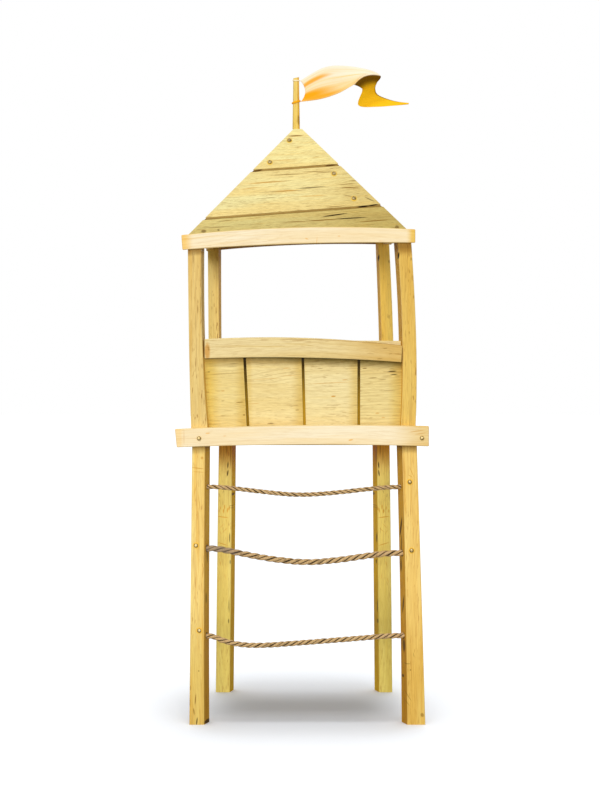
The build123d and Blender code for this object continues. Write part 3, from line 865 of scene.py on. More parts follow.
def startMaterial(name):
    made = bpy.data.materials.new(name)
    made.use_nodes = True
    tree = made.node_tree
    tree.nodes.clear()
    shader = tree.nodes.new("ShaderNodeBsdfPrincipled")
    output = tree.nodes.new("ShaderNodeOutputMaterial")
    tree.links.new(shader.outputs[0], output.inputs["Surface"])
    return made, tree, shader, tree.nodes.new("ShaderNodeTexCoord").outputs


# Sets or links sockets of the shader, and lets a height roughen it
def finishShader(tree, shader, height, strength, distance, sockets):
    for title, source in sockets.items():
        feed(tree, shader.inputs[title], source)
    bump = tree.nodes.new("ShaderNodeBump")
    bump.inputs["Strength"].default_value = strength
    bump.inputs["Distance"].default_value = distance
    tree.links.new(height, bump.inputs["Height"])
    tree.links.new(bump.outputs[0], shader.inputs["Normal"])


def linear(red, green, blue):
    parts = [part / 255 for part in (red, green, blue)]
    return tuple(part / 12.92 if part < 0.04045 else ((part + 0.055) / 1.055) ** 2.4
                 for part in parts)


# Timber: how each way of laying it turns the grain from the row's axes, and its surface
grainTurns = {
    "upright": (0, math.pi / 2, 0),
    "across": (0, 0, 0),
    "deep": (0, 0, -math.pi / 2),
}
timberSurface = {"specular": 0.1, "bump": 0.35, "bumpDepth": 0.0016}

# What may lie over the wood. Each row of a timber holds these values, an amount and a tone.
layers = {
    "boards": (boardGroup, ("Direction", "Offset", "Pitch")),
    "bands": (bandGroup, ("Direction", "Start", "End")),
    "stripes": (stripeGroup, ("Direction", "Middle", "Half", "Soft")),
    "shadowLines": (shadowLineGroup, ("Height", "Climb", "Width", "From", "To")),
    "marks": (markGroup, ("Centre", "Size", "Core", "Turn")),
}


def layOver(tree, tone, wood, kind, **sources):
    group, titles = layers[kind]
    for *values, amount, shade in wood.get(kind, []):
        mask = useGroup(tree, group, **sources, **dict(zip(titles, values)))[0]
        tone = tint(tree, tone, mask, amount, linear(*shade),
                    "MIX" if kind == "marks" else "MULTIPLY")
    return tone


def turned(tree, source, kind, turn, offset=origin):
    mapping = tree.nodes.new("ShaderNodeMapping")
    mapping.vector_type = kind
    tree.links.new(source, mapping.inputs["Vector"])
    mapping.inputs["Rotation"].default_value = turn
    if kind == "POINT":
        mapping.inputs["Location"].default_value = offset
    return mapping.outputs[0]


def sawnTimber(name, wood):
    made, tree, shader, coords = startMaterial(name)
    turn, place = grainTurns[wood["lay"]], coords["Object"]
    handed = vectors(tree, "MULTIPLY", place, (-1 if wood.get("mirrored") else 1, 1, 1))
    offset, bow = wood.get("offset", origin), wood.get("bow", origin)
    parts = useGroup(
        tree, woodGroup, Bow=(bow[0] + offset[0], bow[1], bow[2]),
        Vector=turned(tree, handed, "POINT", turn, offset),
        Normal=turned(tree, coords["Normal"], "VECTOR", turn),
        **{title: linear(*wood[title.lower()]) for title in toneTitles},
        **{title: wood[title.lower()] for title in grainTitles})
    tone = parts["Color"]
    for kind in ("boards", "bands", "stripes"):
        tone = layOver(tree, tone, wood, kind, Vector=place)
    # Gaps between boards: painted shade on their floors where they face the front, the low tone
    # at the foot and the high tone at the top
    for direction, depth, half, foot, head, low, high in wood.get("grooves", []):
        floor = useGroup(tree, stripeGroup, Vector=place, Direction=direction, Middle=depth,
                         Half=half)
        facing = vectors(tree, "DOT_PRODUCT", coords["Normal"], direction)
        rise = useGroup(tree, bandGroup, Vector=place, Start=foot, End=head, Ragged=0.1)
        tone = tint(tree, tone, floor["Mask"], fade(tree, facing, -0.8, -0.95),
                    blend(tree, rise["Mask"], linear(*low), linear(*high)))
    # Painted shade on the faces that look towards the given side
    for direction, amount, shade in wood.get("sides", []):
        side = vectors(tree, "DOT_PRODUCT", coords["Normal"], direction)
        tone = tint(tree, tone, fade(tree, side, 0.6, 0.9), amount, linear(*shade), "MULTIPLY")
    # Painted shadow lines along the board's bow
    tone = layOver(tree, tone, wood, "shadowLines", Vector=place, Bow=bow)
    tone = layOver(tree, tone, wood, "marks", Vector=place)
    finishShader(tree, shader, parts["Height"], timberSurface["bump"],
                 timberSurface["bumpDepth"],
                 {"Base Color": tone, "Roughness": parts["Roughness"],
                  "Specular IOR Level": timberSurface["specular"]})
    return made


# Sorts of timber: how each lies, its tones as red, green, blue from 0 to 255 in plain
# light, the last tone that of the painted highlight on eased edges, and how strong each
# part of its grain and that highlight is
toneTitles = ("Pale", "Warm", "Dark", "Edge")
grainTitles = ("Figure", "Streaks", "Rings", "Fibres", "Dashes", "Knots", "Bend", "Wear")
sorts = {
    "leg": ("upright", (252, 220, 130), (236, 184, 80), (178, 108, 18),
            (255, 226, 140), 0.55, 0.8, 0.14, 0.22, 0.42, 0, 0.03, 0.4),
    "rearLeg": ("upright", (246, 226, 128), (234, 202, 92), (160, 94, 8),
                (240, 214, 110), 0.6, 0.5, 0.1, 0.24, 0.55, 0, 0.04, 0.4),
    "post": ("upright", (242, 214, 138), (228, 184, 94), (156, 104, 32),
             (250, 222, 150), 0.6, 0.7, 0.12, 0.24, 0.75, 0, 0.02, 0.4),
    "board": ("across", (254, 240, 206), (248, 218, 156), (212, 162, 80),
              (246, 210, 120), 0.5, 0.6, 0.12, 0.16, 0.16, 0, 0.008, 0.6),
    "rail": ("across", (241, 220, 161), (224, 193, 118), (166, 118, 44),
             (250, 230, 164), 0.6, 0.6, 0.16, 0.2, 0.28, 0, 0.008, 0.5),
    "panel": ("across", (250, 230, 168), (240, 212, 138), (150, 104, 22),
              (255, 236, 170), 0.5, 0.45, 0.22, 0.22, 0.34, 0, 0.012, 0.5),
    "roof": ("across", (255, 243, 171), (255, 226, 142), (150, 104, 28),
             (250, 226, 150), 0.7, 0.75, 0.45, 0.28, 0.45, 0, 0.012, 0),
    "frame": ("across", (232, 202, 134), (216, 178, 100), (160, 112, 50),
              (236, 206, 140), 0.6, 0.6, 0.3, 0.2, 0.4, 0.06, 0.02, 0.4),
    "pole": ("upright", (252, 224, 132), (236, 196, 80), (180, 128, 40),
             (250, 226, 150), 0.7, 0.6, 0.1, 0.2, 0.4, 0, 0.006, 0),
}
sawn = {sort: dict(zip(("lay", *map(str.lower, toneTitles + grainTitles)), row))
        for sort, row in sorts.items()}
# Tones for marks and bands: wood marks, halos round the heads, and painted shade on the rear
# legs' inner sides and tops, round the rope holes, under the platform, header and rail, beside
# the panel gaps and in the roof seams
shades = {
    "rearSideShade": (255, 224, 72),
    "boltHalo": (255, 196, 44),
    "nailHalo": (236, 190, 56),
    "hole": (40, 26, 8),
    "knot": (98, 66, 16),
    "black": (40, 24, 0),
    "brown": (132, 88, 12),
    "orange": (206, 140, 22),
    "peach": (238, 176, 76),
    "legTopShade": (216, 150, 0),
    "shadowUnderPlatform": (140, 122, 84),
    "shadowUnderHeader": (166, 138, 78),
    "shadeLeftOfGap": (230, 212, 150),
    "shadowUnderRail": (196, 178, 132),
    "shadowCloseUnderRail": (146, 144, 104),
    "goldenEnd": (255, 226, 150),
    "seam": (180, 164, 138),
}

# Marks: each is a place, a size, how hard its core is, a turn, an amount and a tone
markLook = {"haloReach": 0.0195, "haloCore": 0.5, "rimReach": 1.35, "rimCore": 0.72,
            "fleckCore": 0.45, "fleckWide": 1.3, "fleckHigh": 1.2}


def halo(place, shade="boltHalo", amount=0.9, reach=markLook["haloReach"]):
    return (place, (reach, 0.05, reach), markLook["haloCore"], 0, amount, shades[shade])


# A ring of painted shade round a rope hole, on the leg's inner side
def holeRim(x, z, radius):
    reach = radius * markLook["rimReach"]
    return ((x, -0.5, z), (0.06, reach, reach), markLook["rimCore"], 0, 0.95, shades["hole"])


# Streaks, knots and scratches on one plane. Each row has x, z, half the width, half the
# height, an amount, a shade, and degrees of turn where it is turned.
def flecks(y, rows, deep=0.05, lean=0):
    return [((x, y, z), (wide * markLook["fleckWide"], deep, high * markLook["fleckHigh"]),
             markLook["fleckCore"], math.radians(lean + sum(turn)), amount, shades[shade])
            for x, z, wide, high, amount, shade, *turn in rows]


leftSide, rightSide, upwards = (-1, 0, 0), (1, 0, 0), (0, 0, 1)
boltAt = {name: place for name, place, facing in boltPlaces}

# The rear legs have the same marks, mirrored: on the faces, and on the inner sides
mirrorLine = 0.0159
rightRear = flecks(0.4575, [
    (0.415, 1.234, 0.0032, 0.02, 0.95, "black", 4),
    (0.4161, 1.1907, 0.0034, 0.019, 0.95, "black", 8), (0.401, 1.29, 0.004, 0.07, 0.6, "brown"),
    (0.423, 1.33, 0.004, 0.05, 0.6, "brown"), (0.437, 1.3, 0.003, 0.06, 0.4, "brown"),
    (0.454, 1.33, 0.003, 0.05, 0.35, "brown"), (0.4083, 1.0012, 0.0034, 0.013, 0.8, "orange", 10),
    (0.4169, 0.9904, 0.003, 0.015, 0.85, "orange", 8),
    (0.4331, 1.0067, 0.003, 0.014, 0.8, "orange"), (0.4396, 0.985, 0.003, 0.013, 0.85, "orange"),
    (0.4558, 1.0012, 0.003, 0.01, 0.6, "orange", -8), (0.4693, 0.985, 0.003, 0.01, 0.6, "orange"),
    (0.4424, 0.9525, 0.03, 0.0028, 0.85, "orange", 7),
    (0.4426, 0.8061, 0.03, 0.0028, 0.75, "orange", 17),
    (0.4317, 0.882, 0.018, 0.0022, 0.5, "orange", -40),
    (0.4478, 0.905, 0.016, 0.0022, 0.45, "orange", -50),
    (0.456, 0.87, 0.014, 0.0022, 0.4, "orange", 60),
    (0.44, 1.09, 0.0022, 0.012, 0.5, "brown", 15), (0.46, 1.07, 0.0022, 0.012, 0.5, "brown", -10),
    (0.456, 0.7, 0.0022, 0.016, 0.5, "orange", 12),
    (0.43, 0.63, 0.002, 0.018, 0.4, "orange", -10),
    (0.465, 0.61, 0.002, 0.016, 0.45, "orange", 14),
]) + flecks(0.5, [
    (0.3878, 1.0752, 0.008, 0.009, 0.85, "knot"), (0.3939, 1.0138, 0.015, 0.0022, 0.6, "brown"),
    (0.3939, 1.002, 0.015, 0.0022, 0.5, "brown"), (0.406, 0.8398, 0.0026, 0.03, 0.85, "black"),
    (0.4035, 0.7092, 0.0026, 0.013, 0.8, "black"), (0.41, 0.4694, 0.0024, 0.04, 0.7, "black"),
    (0.412, 0.3875, 0.003, 0.014, 0.85, "black"),
], 0.2)
leftRear = [((mirrorLine - x, y, z), size, core, -turn, amount, shade)
            for (x, y, z), size, core, turn, amount, shade in rightRear]

# Each node's timber: which sort, where on the log it was cut, and its own marks
railBow = (0.0075, -0.0315, -0.0928)
headerBow = (-0.0185, 0.0246, -0.0704)
rearHeaderBow = (-0.018, 0.0278, -0.0827)
platformBow = (0, 0.0057, -0.0269)
timbers = {
    "front_left_leg": {
        "sort": "leg", "offset": (0.3, 0, 0.1), "pale": (255, 228, 142),
        "warm": (242, 192, 90),
        # Painted shade on the inner side face, painted shadow under the platform and painted
        # shade round the rope holes; darker towards the foot
        "sides": [(rightSide, 1, (236, 210, 117))],
        "bands": [(upwards, 1.36, 1.412, 1, shades["shadowUnderPlatform"]),
                  (upwards, 0.7, 0.2, 0.9, (233, 227, 196))],
        "marks": [
            halo(boltAt["boltLeftLegMiddle"]), halo(boltAt["boltLeftLegBottom"]),
            holeRim(-0.47, 1.193, 0.012), holeRim(-0.475, 0.884, 0.016),
            holeRim(-0.48, 0.444, 0.014),
            *flecks(-0.5425, [
                (-0.4988, 1.3399, 0.007, 0.008, 0.6, "orange"),
                (-0.52, 1.289, 0.032, 0.0026, 0.7, "orange", -6),
                (-0.515, 1.27, 0.028, 0.0024, 0.45, "orange", -4),
                (-0.5131, 1.1148, 0.0024, 0.05, 0.5, "orange", 6),
                (-0.53, 1.19, 0.0022, 0.04, 0.4, "orange", -14),
                (-0.5172, 0.2712, 0.0035, 0.005, 0.6, "brown"),
                (-0.534, 0.1275, 0.0026, 0.032, 0.8, "brown", -5),
                (-0.5416, 0.067, 0.0026, 0.018, 0.8, "brown", 6),
                (-0.5272, 0.0161, 0.003, 0.022, 0.85, "black", -6),
                (-0.5621, 0.1099, 0.0022, 0.022, 0.6, "brown"),
                (-0.558, 0.185, 0.0022, 0.014, 0.5, "brown"),
            ]),
            *flecks(-0.5, [
                (-0.4752, 0.8547, 0.003, 0.05, 0.6, "black"),
                (-0.4806, 0.633, 0.003, 0.03, 0.5, "black"),
                (-0.472, 0.01, 0.02, 0.012, 0.9, "black"),
            ], 0.2),
        ],
    },
    "front_right_leg": {
        "sort": "leg", "offset": (1.7, 0.4, 0.6),
        # Painted shade on the inner side face, painted shadow under the platform and painted
        # shade round the rope holes; darker towards the foot
        "sides": [(leftSide, 1, (232, 206, 117))],
        "bands": [(upwards, 1.36, 1.412, 1, shades["shadowUnderPlatform"]),
                  (upwards, 0.7, 0.2, 0.9, (238, 232, 204))],
        "marks": [
            halo(boltAt["boltRightLegTop"]), halo(boltAt["boltRightLegMiddle"]),
            holeRim(0.487, 1.193, 0.012), holeRim(0.495, 0.861, 0.016),
            holeRim(0.51, 0.444, 0.014),
            *flecks(-0.5425, [
                (0.5474, 1.2699, 0.0022, 0.03, 0.55, "orange", 24),
                (0.54, 1.25, 0.014, 0.0022, 0.5, "orange", -30),
                (0.5429, 0.2762, 0.0035, 0.004, 0.7, "brown"),
                (0.5592, 0.3517, 0.0022, 0.014, 0.4, "brown", 10),
                (0.6025, 0.0494, 0.009, 0.012, 0.6, "brown", 20),
                (0.529, 0.15, 0.002, 0.04, 0.6, "brown", 32),
                (0.5215, 0.1179, 0.002, 0.034, 0.5, "brown", 40),
            ]),
            *flecks(-0.5, [
                (0.496, 0.99, 0.0034, 0.055, 0.9, "black", -5),
                (0.499, 0.9, 0.0026, 0.06, 0.6, "black"),
                (0.4975, 0.795, 0.0032, 0.034, 0.85, "black"),
                (0.508, 0.6028, 0.003, 0.05, 0.8, "black", -4),
                (0.512, 0.3959, 0.006, 0.036, 0.75, "black"),
                (0.508, 0.2393, 0.005, 0.009, 0.8, "black"),
            ], 0.2),
            *flecks(-0.53, [(0.5261, 0.3075, 0.016, 0.0024, 0.7, "brown")], 0.1),
        ],
    },
    "rear_left_leg": {
        "sort": "rearLeg", "mirrored": True, "marks": leftRear,
        "pale": (237, 217, 126), "warm": (226, 194, 92),
        # Painted shade on the inner side face and over the top under the platform, painted shadow
        # right under it; darker towards the foot
        "sides": [(rightSide, 1, shades["rearSideShade"])],
        "bands": [(upwards, 1.14, 1.36, 0.9, shades["legTopShade"]),
                  (upwards, 1.355, 1.41, 1, (120, 110, 80)),
                  (upwards, 0.75, 0.35, 1, (238, 238, 226))],
    },
    "rear_right_leg": {
        "sort": "rearLeg", "marks": rightRear,
        # Painted shade on the inner side face and over the top under the platform, painted shadow
        # right under it; darker towards the foot
        "sides": [(leftSide, 1, shades["rearSideShade"])],
        "bands": [(upwards, 1.14, 1.36, 0.9, shades["legTopShade"]),
                  (upwards, 1.355, 1.41, 1, (120, 110, 80)),
                  (upwards, 0.75, 0.35, 1, (224, 224, 212))],
    },
    "front_left_post": {
        "sort": "post", "offset": (0.9, 1, 0),
        # Painted shade on the inner side face, and painted shadow under the header
        "sides": [(rightSide, 1, (255, 250, 222))],
        "bands": [(upwards, 2.34, 2.38, 0.7, shades["shadowUnderHeader"])],
        "marks": flecks(-0.5425, [
            (-0.54, 2.33, 0.0036, 0.024, 0.3, "brown"), (-0.506, 2.1, 0.002, 0.06, 0.5, "brown"),
            (-0.53, 2.02, 0.002, 0.05, 0.35, "brown"),
        ]),
    },
    "front_right_post": {
        "sort": "post", "offset": (2.9, 2, 0.3), "pale": (238, 202, 106),
        "warm": (226, 178, 74),
        # Painted shade on the inner side face, and painted shadow under the header
        "sides": [(leftSide, 1, (255, 238, 172))],
        "bands": [(upwards, 2.34, 2.38, 0.7, shades["shadowUnderHeader"])],
        "marks": flecks(-0.5425, [
            (0.4791, 2.3459, 0.0046, 0.021, 1, "black", -9),
            (0.5427, 2.331, 0.005, 0.009, 0.45, "brown"),
        ]),
    },
    "rear_left_post": {
        "sort": "post", "offset": (4.1, 0.6, 0.2), "pale": (236, 210, 130),
        "warm": (220, 184, 96),
        # Painted shade on the inner side face, and at the top under the header
        "sides": [(rightSide, 1, (255, 236, 172))],
        "bands": [(upwards, 2.29, 2.37, 0.8, (184, 166, 92))],
    },
    "rear_right_post": {
        "sort": "post", "offset": (5.2, 1.6, 0.7), "pale": (250, 218, 112),
        "warm": (240, 194, 78),
        # Painted shade on the inner side face
        "sides": [(leftSide, 1, (255, 236, 172))],
        "marks": flecks(0.4525, [
            (0.4123, 2.3495, 0.0046, 0.02, 1, "black", -8),
            (0.4688, 2.3307, 0.0044, 0.009, 0.45, "brown"),
        ]),
    },
    "platform_front_board": {
        "sort": "board", "offset": (0.2, 0.3, 0.9), "bow": platformBow,
        "bands": [(leftSide, 0.585, 0.61, 0.4, shades["goldenEnd"]),
                  (rightSide, 0.42, 0.62, 0.85, (238, 220, 168))],
        "marks": [
            halo(boltAt["boltPlatformLeft"], amount=0.4, reach=0.016),
            halo(boltAt["boltPlatformRight"], amount=0.4, reach=0.016),
            *flecks(-0.5775, [
                (-0.4688, 1.4653, 0.012, 0.004, 0.6, "peach", 6),
                (-0.3843, 1.4519, 0.008, 0.0026, 0.5, "peach"),
                (0.2421, 1.432, 0.012, 0.0036, 0.9, "peach", 8),
                (0.57, 1.476, 0.04, 0.0024, 0.6, "orange", 8),
                (0.59, 1.464, 0.028, 0.0022, 0.5, "orange", 10),
                (-0.587, 1.445, 0.0022, 0.04, 0.35, "orange"),
            ]),
        ],
    },
    "platform_rear_board": {
        "sort": "board", "offset": (3.2, 1.3, 1.9), "bow": platformBow,
        "marks": [halo(boltAt["boltRearBoardLeft"], amount=0.4, reach=0.016),
                  halo(boltAt["boltRearBoardRight"], amount=0.4, reach=0.016)],
    },
    "front_header": {
        "sort": "board", "offset": (5.5, 2.3, 0.4), "bow": headerBow,
        "bands": [(leftSide, 0.535, 0.585, 0.9, shades["goldenEnd"]),
                  (rightSide, 0.515, 0.55, 1, (243, 220, 138))],
        "marks": flecks(-0.5425, [
            (0.0732, 2.418, 0.0022, 0.034, 0.8, "peach", -4),
            (0.023, 2.431, 0.012, 0.005, 0.8, "peach", -16),
            (0.183, 2.444, 0.01, 0.004, 0.7, "peach"),
            (0.169, 2.398, 0.012, 0.0036, 0.9, "peach", -6),
            (-0.23, 2.39, 0.02, 0.003, 0.5, "peach", 6),
            (0.39, 2.42, 0.018, 0.003, 0.5, "peach", -4),
        ]),
    },
    "rear_header": {
        "sort": "board", "offset": (7.5, 3.3, 1.4), "bow": rearHeaderBow,
        # Painted shade on the front face, which stands under the roof
        "bands": [((0, -1, 0), -0.56, -0.545, 0.8, (150, 120, 70))],
    },
    "front_rail": {
        "sort": "rail", "offset": (1, 0, 3), "bow": railBow,
        # A painted shadow line near the rail's top edge
        "shadowLines": [(1.9311, 0.0152, 0.0024, -0.12, 0.54, 0.5, (176, 134, 70))],
        "bands": [(rightSide, 0.1, 0.52, 0.9, (238, 216, 166))],
        "marks": [
            *flecks(-0.53, [
                (-0.472, 1.872, 0.014, 0.046, 0.7, "orange"),
                (-0.466, 1.885, 0.004, 0.014, 0.4, "brown", 12),
            ], 0.06),
            *flecks(-0.54, [
                (0.4143, 1.8875, 0.012, 0.0024, 0.6, "brown", 6),
                (0.387, 1.8353, 0.014, 0.0024, 0.5, "brown", 4),
                (0.44, 1.86, 0.01, 0.0022, 0.5, "brown", 6),
            ], 0.06),
        ],
    },
    "flag_pole": {
        "sort": "pole", "offset": (1, 2, 0.5),
        # Painted shade on the side turned to the right
        "sides": [((0.94, -0.34, 0), 0.8, (255, 226, 130))],
        "marks": flecks(-0.0145, [
            (-0.016, 3.055, 0.008, 0.028, 0.55, "brown")]),
    },
}
plainTimbers = [
    ("left_header", "frame", "deep", (2, 5, 1)), ("right_header", "frame", "deep", (4, 6, 2)),
    ("front_inner_rail", "rail", "across", (4, 1, 5)),
    ("front_panel_cleat", "frame", "across", (6, 1, 5)),
    ("left_rails", "rail", "deep", (2, 1, 0)), ("right_rails", "rail", "deep", (5, 1, 0)),
    ("left_panel_boards", "panel", "deep", (0.5, 2, 0)),
    ("right_panel_boards", "panel", "deep", (3.5, 2, 0)),
    ("deck_boards", "panel", "deep", (6.5, 0.4, 0)),
    ("deck_joists", "frame", "across", (1, 3, 2)),
    ("left_rim_joist", "frame", "deep", (2, 3, 2)),
    ("right_rim_joist", "frame", "deep", (3, 3, 2)),
    ("front_left_rafter", "frame", "across", (4, 3, 2)),
    ("front_right_rafter", "frame", "across", (5, 3, 2)),
    ("rear_right_rafter", "frame", "across", (6, 3, 2)),
    ("rear_left_rafter", "frame", "across", (7, 3, 2)),
    ("apex_block", "frame", "upright", (8, 3, 2)), ("roof_cap", "roof", "across", (8, 3, 2)),
]
for node, sort, lay, offset in plainTimbers:
    timbers[node] = {"sort": sort, "lay": lay, "offset": offset}
for node in ("left_panel_boards", "right_panel_boards"):
    timbers[node]["boards"] = [((0, 1, 0), -0.4525, 0.22625, 0.6, (232, 214, 168))]
timbers["deck_boards"].update(
    knots=0.06, boards=[((1, 0, 0), -0.556, 0.12556, 0.8, (222, 196, 146))])

# The front panel's boards, each with its tones, the gap to its right with the painted shade
# at the foot of that, the shade at its side, and its marks
panelBoards = [
    {"pale": (247, 227, 158), "warm": (236, 209, 131), "gap": -0.279,
     "foot": (146, 112, 16), "side": (leftSide, 0.395, 0.47, 0.8, (244, 230, 150)),
     "marks": [
         (-0.4661, 1.7678, 0.008, 0.0024, 0.8, "black"),
         (-0.3812, 1.7603, 0.09, 0.0018, 0.5, "brown"),
         (-0.3114, 1.6163, 0.018, 0.0026, 0.8, "brown"),
         (-0.3963, 1.6728, 0.01, 0.0026, 0.7, "orange"),
         (-0.3963, 1.6228, 0.008, 0.0022, 0.6, "brown"),
         (-0.29, 1.5527, 0.006, 0.004, 0.7, "brown"), (-0.35, 1.795, 0.03, 0.0018, 0.4, "brown"),
         (-0.34, 1.81, 0.026, 0.0018, 0.4, "brown"),
     ]},
    {"pale": (248, 228, 163), "warm": (238, 210, 135), "gap": 0.008,
     "foot": (186, 144, 30), "side": (leftSide, 0.24, 0.27, 0.5, (240, 222, 160)),
     "marks": [
         (-0.0764, 1.7868, 0.018, 0.0022, 0.6, "orange"),
         (-0.1863, 1.7328, 0.08, 0.0016, 0.5, "orange"),
         (-0.2364, 1.6092, 0.024, 0.0018, 0.5, "orange"),
         (-0.1565, 1.51, 0.018, 0.0034, 0.7, "brown"),
         (-0.0239, 1.5777, 0.01, 0.0026, 0.7, "brown"),
         (-0.06, 1.75, 0.05, 0.0016, 0.45, "orange"),
     ]},
    {"pale": (247, 229, 169), "warm": (239, 215, 145), "gap": 0.284,
     "foot": (160, 124, 24), "side": (leftSide, -0.03, -0.01, 0.3, (240, 222, 160)),
     "marks": [
         (0.1485, 1.7138, 0.12, 0.0018, 0.55, "orange"),
         (0.2134, 1.7288, 0.014, 0.0024, 0.7, "orange"),
         (0.1565, 1.6463, 0.012, 0.0034, 0.9, "orange"),
         (0.09, 1.785, 0.014, 0.002, 0.5, "brown"),
     ]},
    {"pale": (241, 220, 151), "warm": (231, 201, 125), "gap": 0.52,
     "foot": (200, 158, 40), "side": (rightSide, 0.42, 0.47, 0.6, (242, 230, 168)),
     "marks": [
         (0.3133, 1.7863, 0.012, 0.003, 0.8, "brown"),
         (0.45, 1.772, 0.024, 0.0034, 0.95, "black"),
         (0.458, 1.756, 0.018, 0.0026, 0.85, "black"),
         (0.3533, 1.7388, 0.022, 0.0026, 0.7, "brown"), (0.4, 1.73, 0.02, 0.0022, 0.6, "brown"),
         (0.4384, 1.6763, 0.05, 0.002, 0.6, "brown"),
         (0.3761, 1.5627, 0.01, 0.0028, 0.7, "orange"),
         (0.4061, 1.5402, 0.01, 0.0026, 0.6, "orange"),
     ]},
]
panelLook = {"groove": (0.02793, 1, 0), "grooveDepth": -0.4946, "grooveHalf": 0.003,
             "grooveTopShade": (44, 32, 4), "plane": -0.5036, "lean": 3}
for count, board in enumerate(panelBoards):
    timbers[f"front_panel_board_{count + 1}"] = {
        "sort": "panel", "offset": (1.3 * count, 0.7 * count, 0.31 * count),
        "pale": board["pale"], "warm": board["warm"],
        # Painted shade at the board's side, left of the gap and under the rail, and in the gap
        "bands": [board["side"],
                  (rightSide, board["gap"] - 0.07, board["gap"] - 0.008, 0.7,
                   shades["shadeLeftOfGap"]),
                  (upwards, 1.785, 1.83, 0.6, shades["shadowUnderRail"]),
                  ((0.04, 0, 1), 1.798, 1.842, 1.0, shades["shadowCloseUnderRail"])],
        "grooves": [(panelLook["groove"], panelLook["grooveDepth"], panelLook["grooveHalf"],
                     1.56, 1.86, board["foot"], panelLook["grooveTopShade"])],
        "marks": flecks(panelLook["plane"], board["marks"], lean=panelLook["lean"]),
    }


# Seams of a roof face: the way up the face across each seam, and how far along that it is
def seamLines(side):
    start, end, apex, facing = roofFace(side)
    found = []
    for startShare, endShare in zip(roof["seams"][side], roof["seams"][(side + 1) % 4]):
        first, last = start.lerp(apex, startShare), end.lerp(apex, endShare)
        uphill = facing.cross(last - first).normalized()
        found.append((tuple(uphill), first.dot(uphill)))
    return found


# Knots at the foot of the roof's front, and its cracks, as deep as the face's slope needs
roofKnots = [
    (-0.4905, 2.4698, 0.013, 0.009, 0.7, "knot"), (0.4732, 2.4882, 0.011, 0.012, 0.7, "knot"),
    (-0.4164, 2.4759, 0.006, 0.006, 0.6, "knot"),
]
roofCracks = [
    (-0.123, 2.727, 0.086, 0.0024, 0.525, "brown", 4.1),
    (-0.097, 2.676, 0.128, 0.0024, 0.675, "brown", 3.3),
    (-0.082, 2.678, 0.055, 0.0027, 0.75, "orange", 3.2),
    (0.047, 2.695, 0.07, 0.0033, 0.675, "black", 4.5),
    (0.242, 2.695, 0.047, 0.0027, 0.9, "brown", 3.4),
    (0.164, 2.552, 0.066, 0.0036, 1, "black", 8.6),
    (0.244, 2.536, 0.081, 0.0033, 0.975, "black", 3.2),
    (0.308, 2.596, 0.029, 0.0051, 1, "black", 6.6),
    (0.356, 2.603, 0.028, 0.0039, 1, "black", 11.1),
    (0.101, 2.526, 0.087, 0.003, 0.9, "brown", 3.8),
    (0.358, 2.522, 0.085, 0.003, 0.825, "brown", 4),
    (-0.032, 2.972, 0.04, 0.0033, 0.9, "brown", 2.7),
    (0.231, 2.652, 0.026, 0.0027, 0.6, "brown", -12.1),
    (0.341, 2.633, 0.024, 0.003, 0.6, "black", -24.5),
    (-0.386, 2.523, 0.042, 0.0024, 0.75, "brown", 6.7),
    (-0.108, 2.84, 0.075, 0.0021, 0.525, "orange", 3.9),
    (0.085, 2.78, 0.074, 0.0024, 0.6, "brown", 3.1),
    (0.27, 2.731, 0.041, 0.0024, 0.75, "brown", 4.2),
    (-0.18, 2.64, 0.06, 0.0021, 0.525, "brown", 5.7),
    (-0.264, 2.691, 0.047, 0.0021, 0.6, "orange", 8.6),
    (-0.227, 2.784, 0.026, 0.0054, 1, "knot", 9.6), (0.144, 2.812, 0.028, 0.0048, 1, "knot", 5),
    (-0.073, 2.764, 0.093, 0.0024, 0.75, "brown", 2.9),
    (0.115, 2.775, 0.052, 0.0024, 0.675, "brown", 4.3),
    (-0.178, 2.722, 0.099, 0.0024, 0.75, "orange", 4.4),
    (0.227, 2.713, 0.043, 0.0024, 0.75, "brown", 4.6),
    (-0.036, 2.518, 0.065, 0.0027, 0.75, "brown", 2.8),
    (-0.42, 2.49, 0.069, 0.0024, 0.675, "brown", 3.6),
    (0.169, 2.596, 0.054, 0.0024, 0.75, "brown", 4.2),
    (0.054, 2.651, 0.066, 0.0021, 0.6, "orange", 2.1),
]
# Seams: half the width of their painted shade line and its softness, and where the courses' tones
# change
seamLook = {"line": 0.0085, "soft": 0.25, "shade": 0.002, "shadeFade": 0.08}
lip, lipFade = 0.012, 0.006
nailAt = roofNails()
for side, title in enumerate(["front", "right", "rear", "left"]):
    (lowWay, lowSeam), (highWay, highSeam) = seamLines(side)
    across = title in ("front", "rear")
    tilt = -lowWay[0] / lowWay[2] if across else lowWay[1] / lowWay[2]
    timbers[f"roof_{title}_boards"] = {
        "sort": "roof", "lay": "across" if across else "deep", "bow": (0, tilt, 0),
        "offset": (2.3 * side, 0, 0),
        "bands": [(highWay, highSeam + lip, highSeam + lipFade, 1, (248, 248, 252)),
                  (lowWay, lowSeam + lip, lowSeam + lipFade, 1, (234, 233, 219)),
                  (rightSide, 0, 0.42, 0.8, (232, 226, 204)),
                  (lowWay, lowSeam + seamLook["shade"], lowSeam - seamLook["shadeFade"], 0.7,
                   (236, 226, 212))],
        # The seam lines are painted shade in the shallow grooves
        "stripes": [(way, seam + seamLook["line"], seamLook["line"], seamLook["soft"], 1,
                     shades["seam"])
                    for way, seam in ((highWay, highSeam), (lowWay, lowSeam))],
        "marks": [halo(place, "nailHalo") for name, place, facing
                  in nailAt[side * 4:side * 4 + 4]],
    }
timbers["roof_front_boards"]["marks"] += (
    flecks(-0.503, roofKnots) + flecks(-0.3, roofCracks, deep=1))
